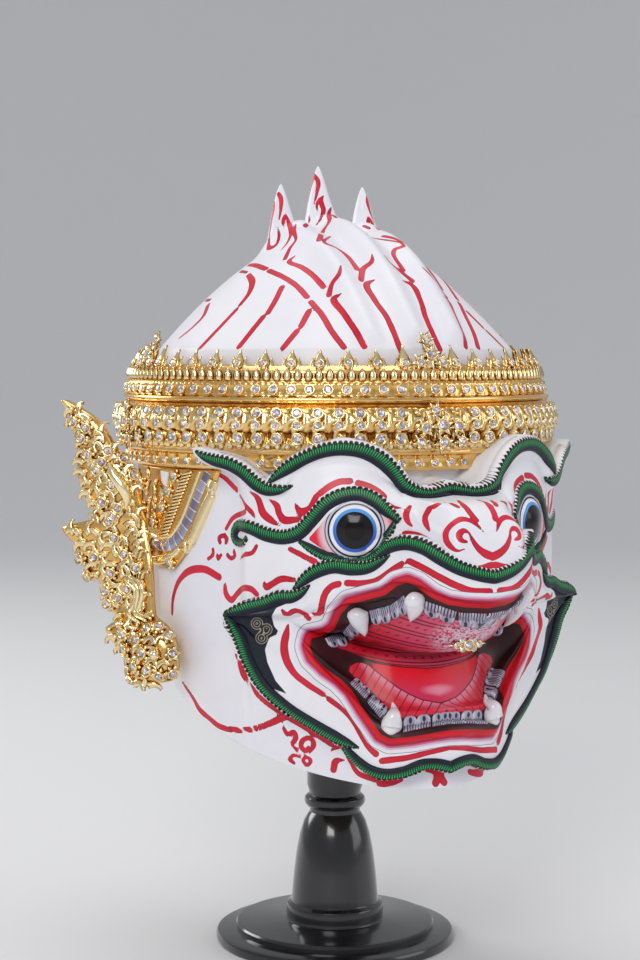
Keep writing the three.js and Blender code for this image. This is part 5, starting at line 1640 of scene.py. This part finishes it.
# Ear wings
# A sheet of lacquered hide at each side, flared out and back like a flame over a round pendant; scroll leaves
# pressed in lacquer cover its face, gilded and set with stones, and its back is plain gilt.
WING_ROOT_ANGLE = 88
WING_ROOT_RADIUS = 114
WING_FLARE = math.radians(51)
WING_PROUD = 3.2
PENDANT_PROUD = 11.0
wing_outer = through([
    (153, -9), (156, 3), (163, 9), (170, 15), (180, 21), (186, 13), (190, 19), (204, 24), (210, 31),
    (223, 37), (233, 45), (239, 26), (248, 32), (263, 36), (274, 36), (279, 37), (293, 41), (301, 45)])
wing_inner = through([
    (153, -16), (156, -27), (165, -34), (175, -33), (185, -24), (189, -13), (215, -10), (230, -5), (245, 0),
    (262, 5), (277, 15), (290, 24), (301, 42)])
SCROLL_PITCH = 5.4


def curl_shape(bend):
    """A leaf that curls over to one side as it narrows."""
    rings, relief = [], []
    for step in range(8):
        share = step / 7
        turn = 2.7 * share
        heart = (bend * 0.36 * (1 - math.cos(turn)), 0.36 * math.sin(turn) + 0.3 * share)
        side = (math.cos(turn), -bend * math.sin(turn))
        wide = 0.46 * (1 - share) ** 0.6 + 0.05
        rings.append([(heart[0] + side[0] * wide * k, heart[1] + side[1] * wide * k, lift * (1 - 0.3 * share))
                      for k, lift in ((-0.5, 0.1), (-0.25, 0.75), (0.05, 0.62), (0.3, 1.0), (0.5, 0.1),
                                      (0, -0.5))])
        # how light the gilding is painted: painted highlight on the proud ridge, painted shade at the edges
        relief += [0.2, 0.95, 0.55, 1.0, 0.2, 0.0]
    points, faces = closed_rings(rings)
    return points, faces, np.array(relief + [0.3, 0.9])


CURLS = (curl_shape(1), curl_shape(-1))


def on_wing(run, z, out):
    """A place on the right wing: run is along its sheet, out is how proud of it."""
    run, z, out = np.broadcast_arrays(*(np.asarray(v, float) for v in (run, z, out)))
    angle = WING_ROOT_ANGLE + np.minimum(run, 0) / (WING_ROOT_RADIUS * math.radians(1))
    flared = run > 0
    place = around(-angle, WING_ROOT_RADIUS + np.where(flared, 0, out), z)
    place[..., 0] -= flared * (run * math.sin(WING_FLARE) + out * math.cos(WING_FLARE))
    place[..., 1] += flared * (run * math.cos(WING_FLARE) - out * math.sin(WING_FLARE))
    return place


def wing_face(share, z):
    thick = mix(PENDANT_PROUD, WING_PROUD, ease(z, 178, 192))
    swell = 1 + thick * np.sqrt(np.clip(4 * share * (1 - share), 0, 1))
    start, end = wing_inner(z), wing_outer(z)
    return on_wing(start + (end - start) * share, z, swell)


WING_FOOT, WING_TOP, WING_ROWS = 153.4, 300.6, 110
heights = np.linspace(WING_FOOT, WING_TOP, WING_ROWS)
across = np.linspace(0, 1, 16)
rings = []
for z in heights:
    start, end = wing_inner(z), wing_outer(z)
    back = on_wing(start + (end - start) * across[::-1], z, -1.0)
    rings.append(np.vstack([wing_face(across, z), back]))
wing_points, wing_faces = closed_rings(rings)
wing_tree = BVHTree.FromPolygons([tuple(p) for p in wing_points], wing_faces)
# the plate between the leaves is painted a middling gilt, darker than the proud leaves: painted shade
wing_parts = [(wing_points, wing_faces, np.full(len(wing_points), 0.45))]


def facing_normal(tree, point):
    normal = np.array(tree.find_nearest(Vector(point))[1])
    return normal if normal @ np.array(toward_camera) > 0 else -normal


SCROLL_SEED = 11
rng = np.random.default_rng(SCROLL_SEED)
scrolls = ([], [])
for row, z in enumerate(np.arange(156, 297, SCROLL_PITCH)):
    wide = float(wing_outer(z) - wing_inner(z))
    count = max(1, round(wide / SCROLL_PITCH))
    for i in range(count):
        share = min(0.88, max(0.12, (i + 0.5 + (0.25 if row % 2 else -0.25)) / count))
        place = wing_face(share, z)
        flow = wing_face(share, z + 2.5) - place
        flow /= np.linalg.norm(flow)
        beside = wing_face(share + 0.02, z) - place
        beside /= np.linalg.norm(beside)
        out = np.cross(flow, beside)
        out *= np.sign(out @ np.array(toward_camera))
        turn = (0.75 if share > 0.5 else -0.75) * (0.4 + share) + rng.uniform(-0.25, 0.25)
        scrolls[(row + i) % 2].append((place, flow * math.cos(turn) + beside * math.sin(turn), out,
                                       rng.uniform(7.6, 9.6) * min(1, wide / 16 + 0.35)))
for shape, found in zip(CURLS, scrolls):
    centres, ups, outs, lengths = (np.array(v) for v in zip(*found))
    wing_parts.append(copies(shape, centres - ups * lengths[:, None] * 0.3, ups, outs, lengths, lengths, 2.3))

STONE_LEAVES = 6
WING_STONE_SIZE = 2.15
WING_STONES = [
    (75.5, 421), (87, 428), (83, 438), (89, 454.5), (108.5, 451), (103, 462), (98, 470), (121.5, 460),
    (132, 475.6), (113, 485), (103.6, 502), (119, 508), (114, 517), (110, 522), (115.5, 538), (125, 554),
    (83, 558), (96, 557), (90, 574), (112, 573), (137, 568), (128, 589), (119.5, 597), (108.5, 590.5),
    (110, 603), (114, 620), (125, 634), (140, 640), (149, 631), (158.5, 629.5), (168, 638), (128, 650),
    (145, 653), (172, 654), (138, 667), (150, 670), (160, 674), (172, 671)]


def set_stones(tree, places, petals, size, lift):
    """Stones at places in the picture, with their collars and a few leaves round each."""
    parts, middles, normals = [], [], []
    for x, y in places:
        point = on_surface(tree, x, y)
        if point is None:
            continue
        out = facing_normal(tree, point)
        middle = np.array(point) + out * lift
        rise = np.array([0, 0, 1.0]) - out * out[2]
        rise /= np.linalg.norm(rise)
        beside = np.cross(rise, out)
        parts.append(copies(COLLAR, middle, rise, out, size, size, size * 1.6))
        for turn in range(petals):
            lean = 2 * math.pi * turn / petals + 0.4
            up = rise * math.cos(lean) + beside * math.sin(lean)
            parts.append(copies(PETAL, middle + up * size * 1.1 - out * 1.3, up, out, size * 1.3,
                                size * 0.95, 1.0))
        middles.append(middle)
        normals.append(out)
    return parts, np.array(middles), np.array(normals)


set_parts, stone_places, stone_outs = set_stones(wing_tree, WING_STONES, STONE_LEAVES, WING_STONE_SIZE, 2.5)
wing_parts += set_parts
# Smooth curled leaves, a ribbed neck over the pendant and a drop at its middle:
# place in the picture, lift and half thickness
WING_CURLS = [
    [(109, 462, 1.5, 1.2), (116, 476, 2.6, 3.0), (125, 489, 2.8, 3.6), (128, 500, 2.2, 2.4),
     (125, 510, 1.2, 0.6)],
    [(128, 577, 1.2, 0.8), (141, 588, 2.0, 1.4), (140, 603, 2.0, 1.6), (136, 613, 2.2, 1.5),
     (147, 623, 1.6, 0.8)],
    [(125, 580, 1.2, 0.8), (136, 590, 2.0, 1.3), (135, 603, 2.0, 1.4), (131, 613, 2.2, 1.4),
     (141, 625, 1.6, 0.8)],
    [(131, 575, 1.2, 0.7), (145, 587, 2.0, 1.2), (144, 602, 2.0, 1.4), (141, 612, 2.2, 1.3),
     (152, 621, 1.6, 0.7)],
    [(157, 648, 1.6, 0.5), (157, 655, 3.2, 2.4), (157, 662, 1.8, 0.4)],
]
for stations in WING_CURLS:
    placed = []
    for x, y, lift, thick in stations:
        point = on_surface(wing_tree, x, y)
        if point is not None:
            placed.append((*(np.array(point) + facing_normal(wing_tree, point) * lift), thick))
    if len(placed) > 2:
        points, faces = closed_rings(swept(placed, 10, 18))
        # the curls are painted pale, as proud parts: painted highlight
        wing_parts.append((points, faces, np.full(len(points), 0.9)))
for side, flip in BOTH_SIDES:
    gilt_piece("ear_wing_relief_" + side, wing_parts, "ear_wing_" + side, flip)
    stone_piece("ear_wing_stones_" + side, stone_places, stone_outs, WING_STONE_SIZE, flip)


# Ear panels
# A curved V of gilded lacquer in front of each wing: a flat border, a strip of mirror glass inside it, a comb
# of short ribs, and scroll leaves set with stones; a polished moulding runs round its foot.
EAR_FRONT_ANGLE = 58
EAR_BACK_ANGLE = 101
EAR_BOTTOM = 214
EAR_TOP = DIADEM_FOOT - 0.6
EAR_THICKNESS = 2.4
rings = []
ear_middle = (EAR_FRONT_ANGLE + EAR_BACK_ANGLE) / 2 + 2
for z in np.linspace(EAR_BOTTOM, EAR_TOP, 40):
    spread = min(1, max(0, (z - EAR_BOTTOM + 0.5) / (EAR_TOP - EAR_BOTTOM))) ** 0.62
    span = np.linspace(mix(ear_middle - 4, EAR_FRONT_ANGLE, spread),
                       mix(ear_middle + 4, EAR_BACK_ANGLE, spread), 24)
    rings.append(np.vstack([around(-span, BARREL_RADIUS + EAR_THICKNESS, z),
                            around(-span[::-1], BARREL_RADIUS + 1.0, z)]))
panel_points, panel_faces = closed_rings(rings)
panel_tree = BVHTree.FromPolygons([tuple(p) for p in panel_points], panel_faces)
# the panel's ground is painted a darker gilt than its leaves: painted shade
panel_parts = [(panel_points, panel_faces, np.full(len(panel_points), 0.35))]

EAR_STONE_SIZE = 2.0
EAR_STONES = [(145, 484), (176, 476), (170, 491), (138, 505), (145, 507.5), (164, 507), (134.5, 521),
              (155, 522), (145, 534), (150, 550), (136, 566), (149, 572), (163, 571), (172, 563)]
set_parts, stone_places, stone_outs = set_stones(panel_tree, EAR_STONES, STONE_LEAVES, EAR_STONE_SIZE, 1.5)
panel_parts += set_parts
RIB_COUNT = 19
for i in range(RIB_COUNT):
    share = i / (RIB_COUNT - 1)
    start = on_surface(panel_tree, 193 - 24 * share, 472 + 62 * share)
    end = on_surface(panel_tree, 182 - 24 * share, 475 + 62 * share)
    if start is not None and end is not None:
        out = facing_normal(panel_tree, start)
        panel_parts.append(copies(PETAL, np.array(start) + out * 0.2, np.array(end - start), out, 2.0,
                                  (end - start).length * 1.15, 1.5))
centres, ups, outs = [], [], []
for x in np.arange(118, 186, 7.5):
    for y in np.arange(478, 560, 8):
        x_at, y_at = x + rng.uniform(-1.5, 1.5), y + rng.uniform(-1.5, 1.5)
        point = on_surface(panel_tree, x_at, y_at)
        if point is None or x_at > 190 - (y_at - 470) * 0.38 - 12 or (155 < x_at < 175 and y_at < 492):
            continue
        out = facing_normal(panel_tree, point)
        turn = rng.uniform(-1.2, 1.2)
        rise = np.array([0, 0, 1.0])
        centres.append(np.array(point))
        ups.append(rise * math.cos(turn) + np.cross(rise, out) * math.sin(turn))
        outs.append(out)
panel_parts.append(copies(LEAF, centres, ups, outs, 4.0, 6.0, 1.6))
for side, flip in BOTH_SIDES:
    gilt_piece("ear_panel_relief_" + side, panel_parts, "ear_panel_" + side, flip)
    stone_piece("ear_panel_stones_" + side, stone_places, stone_outs, EAR_STONE_SIZE, flip)

mirror_glass = plain_material("mirror_glass", (0.5, 0.47, 0.6), 0.06, Metallic=0.7, Coat_Weight=0.8,
                              Coat_Roughness=0.03)
work = Nodes(mirror_glass)
PANE = 5.5
cut = work.math("FLOOR", work.over(work.named("along"), PANE))
tint = work.math("FRACT", work.times(work.math("SINE", work.times(cut, 12.7)), 43.7))
seam = work.under(work.math("FRACT", work.over(work.named("along"), PANE)), 0.09, 0.03)
work.colour(work.blend(seam, work.blend(tint, (0.24, 0.21, 0.30), (0.62, 0.58, 0.74)), (0.95, 0.95, 1.0)))
work.roughness(work.spread(work.noise(90.0), 0.1, 0.03))
ear_gesso = plain_material("ear_gesso", (0.84, 0.83, 0.88), 0.4, Coat_Weight=0.2)
work = Nodes(ear_gesso)
chalk = work.noise(60.0, 4.0)
work.colour(work.blend(chalk, (0.80, 0.79, 0.85), (0.88, 0.87, 0.92)))
work.roughness(work.spread(chalk, 0.2, 0.3))
EAR_STRIPS = [
    ("ear_border", gilding, 0.75, 1.1, [(221, 476, 8), (207, 503, 9.5), (194, 533, 9), (187, 552, 6),
                                        (184, 560, 3)]),
    ("ear_mirror", mirror_glass, 0.5, 0.6, [(208, 472, 9), (198, 495, 10), (186, 524, 11), (177, 539, 12),
                                            (166, 546, 12), (154, 543, 8)]),
    ("ear_rib", gilding, 1.0, 1.5, [(200, 471, 3), (190, 498, 3.4), (178, 526, 3.6), (169, 537, 3.6),
                                    (159, 538, 3.4), (151, 534, 2.4)]),
    ("ear_moulding", gilding, 1.0, 2.0, [(128, 546, 5), (136, 553, 8), (147, 558, 9), (161, 560, 9),
                                         (173, 556, 7), (180, 549, 4)]),
    ("ear_patch", ear_gesso, 0.5, 1.4, [(165, 471, 14), (165, 479, 11), (167, 487, 3)]),
]
for name, material, painted_gilt_light, height, stations in EAR_STRIPS:
    for side, strip in zip(("right", "left"), raised_band(name, panel_tree, stations, True, False, height)):
        # how light the strip's gilding is painted, as painted highlight and shade; the mirror and the white
        # patch don't read it
        attribute(strip, "relief", np.full(len(strip.data.vertices), painted_gilt_light))
        strip.data.materials.append(material)
        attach(strip, "root")


# Jewel on the palate
# A small spray of gilt petals round a stone, pegged to the roof of the mouth behind the upper lip.
JEWEL_PETALS = 12
PEG_RADIUS = 1.4
PEG_LENGTH = 9
PEG_SIDES = 12
low, high = (np.array(corner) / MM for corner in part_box("palate_jewel"))
jewel_middle = (low + high) / 2
jewel_reach = (high - low) / 2
facing = np.array([0, -1.0, 0])
jewel_parts, jewel_stones = [], [jewel_middle + facing * jewel_reach[1] * 0.5]
for i in range(JEWEL_PETALS):
    turn = 2 * math.pi * i / JEWEL_PETALS
    up = np.array([math.sin(turn), 0, math.cos(turn)])
    reach = 1 / math.hypot(math.sin(turn) / jewel_reach[0], math.cos(turn) / jewel_reach[2])
    jewel_parts.append(copies(LEAF, jewel_middle - facing * 0.6, up, facing, 3.6, reach * 0.96, 1.4))
    if i in (2, 4, 8, 10, 3, 9):
        jewel_stones.append(jewel_middle + up * reach * 0.55 + facing * 0.9)
jewel_stones = np.array(jewel_stones)
jewel_sizes = np.array([2.2] + [1.3] * (len(jewel_stones) - 1))
jewel_parts.append(copies(COLLAR, jewel_stones, [[0, 0, 1.0]] * len(jewel_stones),
                          [facing] * len(jewel_stones), jewel_sizes, jewel_sizes, jewel_sizes))
peg_turns = np.linspace(0, 2 * math.pi, PEG_SIDES, endpoint=False)
peg_ring = [(PEG_RADIUS * math.cos(turn), PEG_RADIUS * math.sin(turn)) for turn in peg_turns]
peg_points, peg_faces = closed_rings([[jewel_middle + [x, back, z + 0.45 * back] for x, z in peg_ring]
                                      for back in (0, PEG_LENGTH)])
# the peg's gilt is painted fairly light: painted highlight
jewel_parts.append((np.array(peg_points), peg_faces, np.full(len(peg_points), 0.8)))
gilt_piece("palate_jewel_petals", jewel_parts, "palate_jewel")
stone_piece("palate_jewel_stones", jewel_stones, [facing] * len(jewel_stones), jewel_sizes)
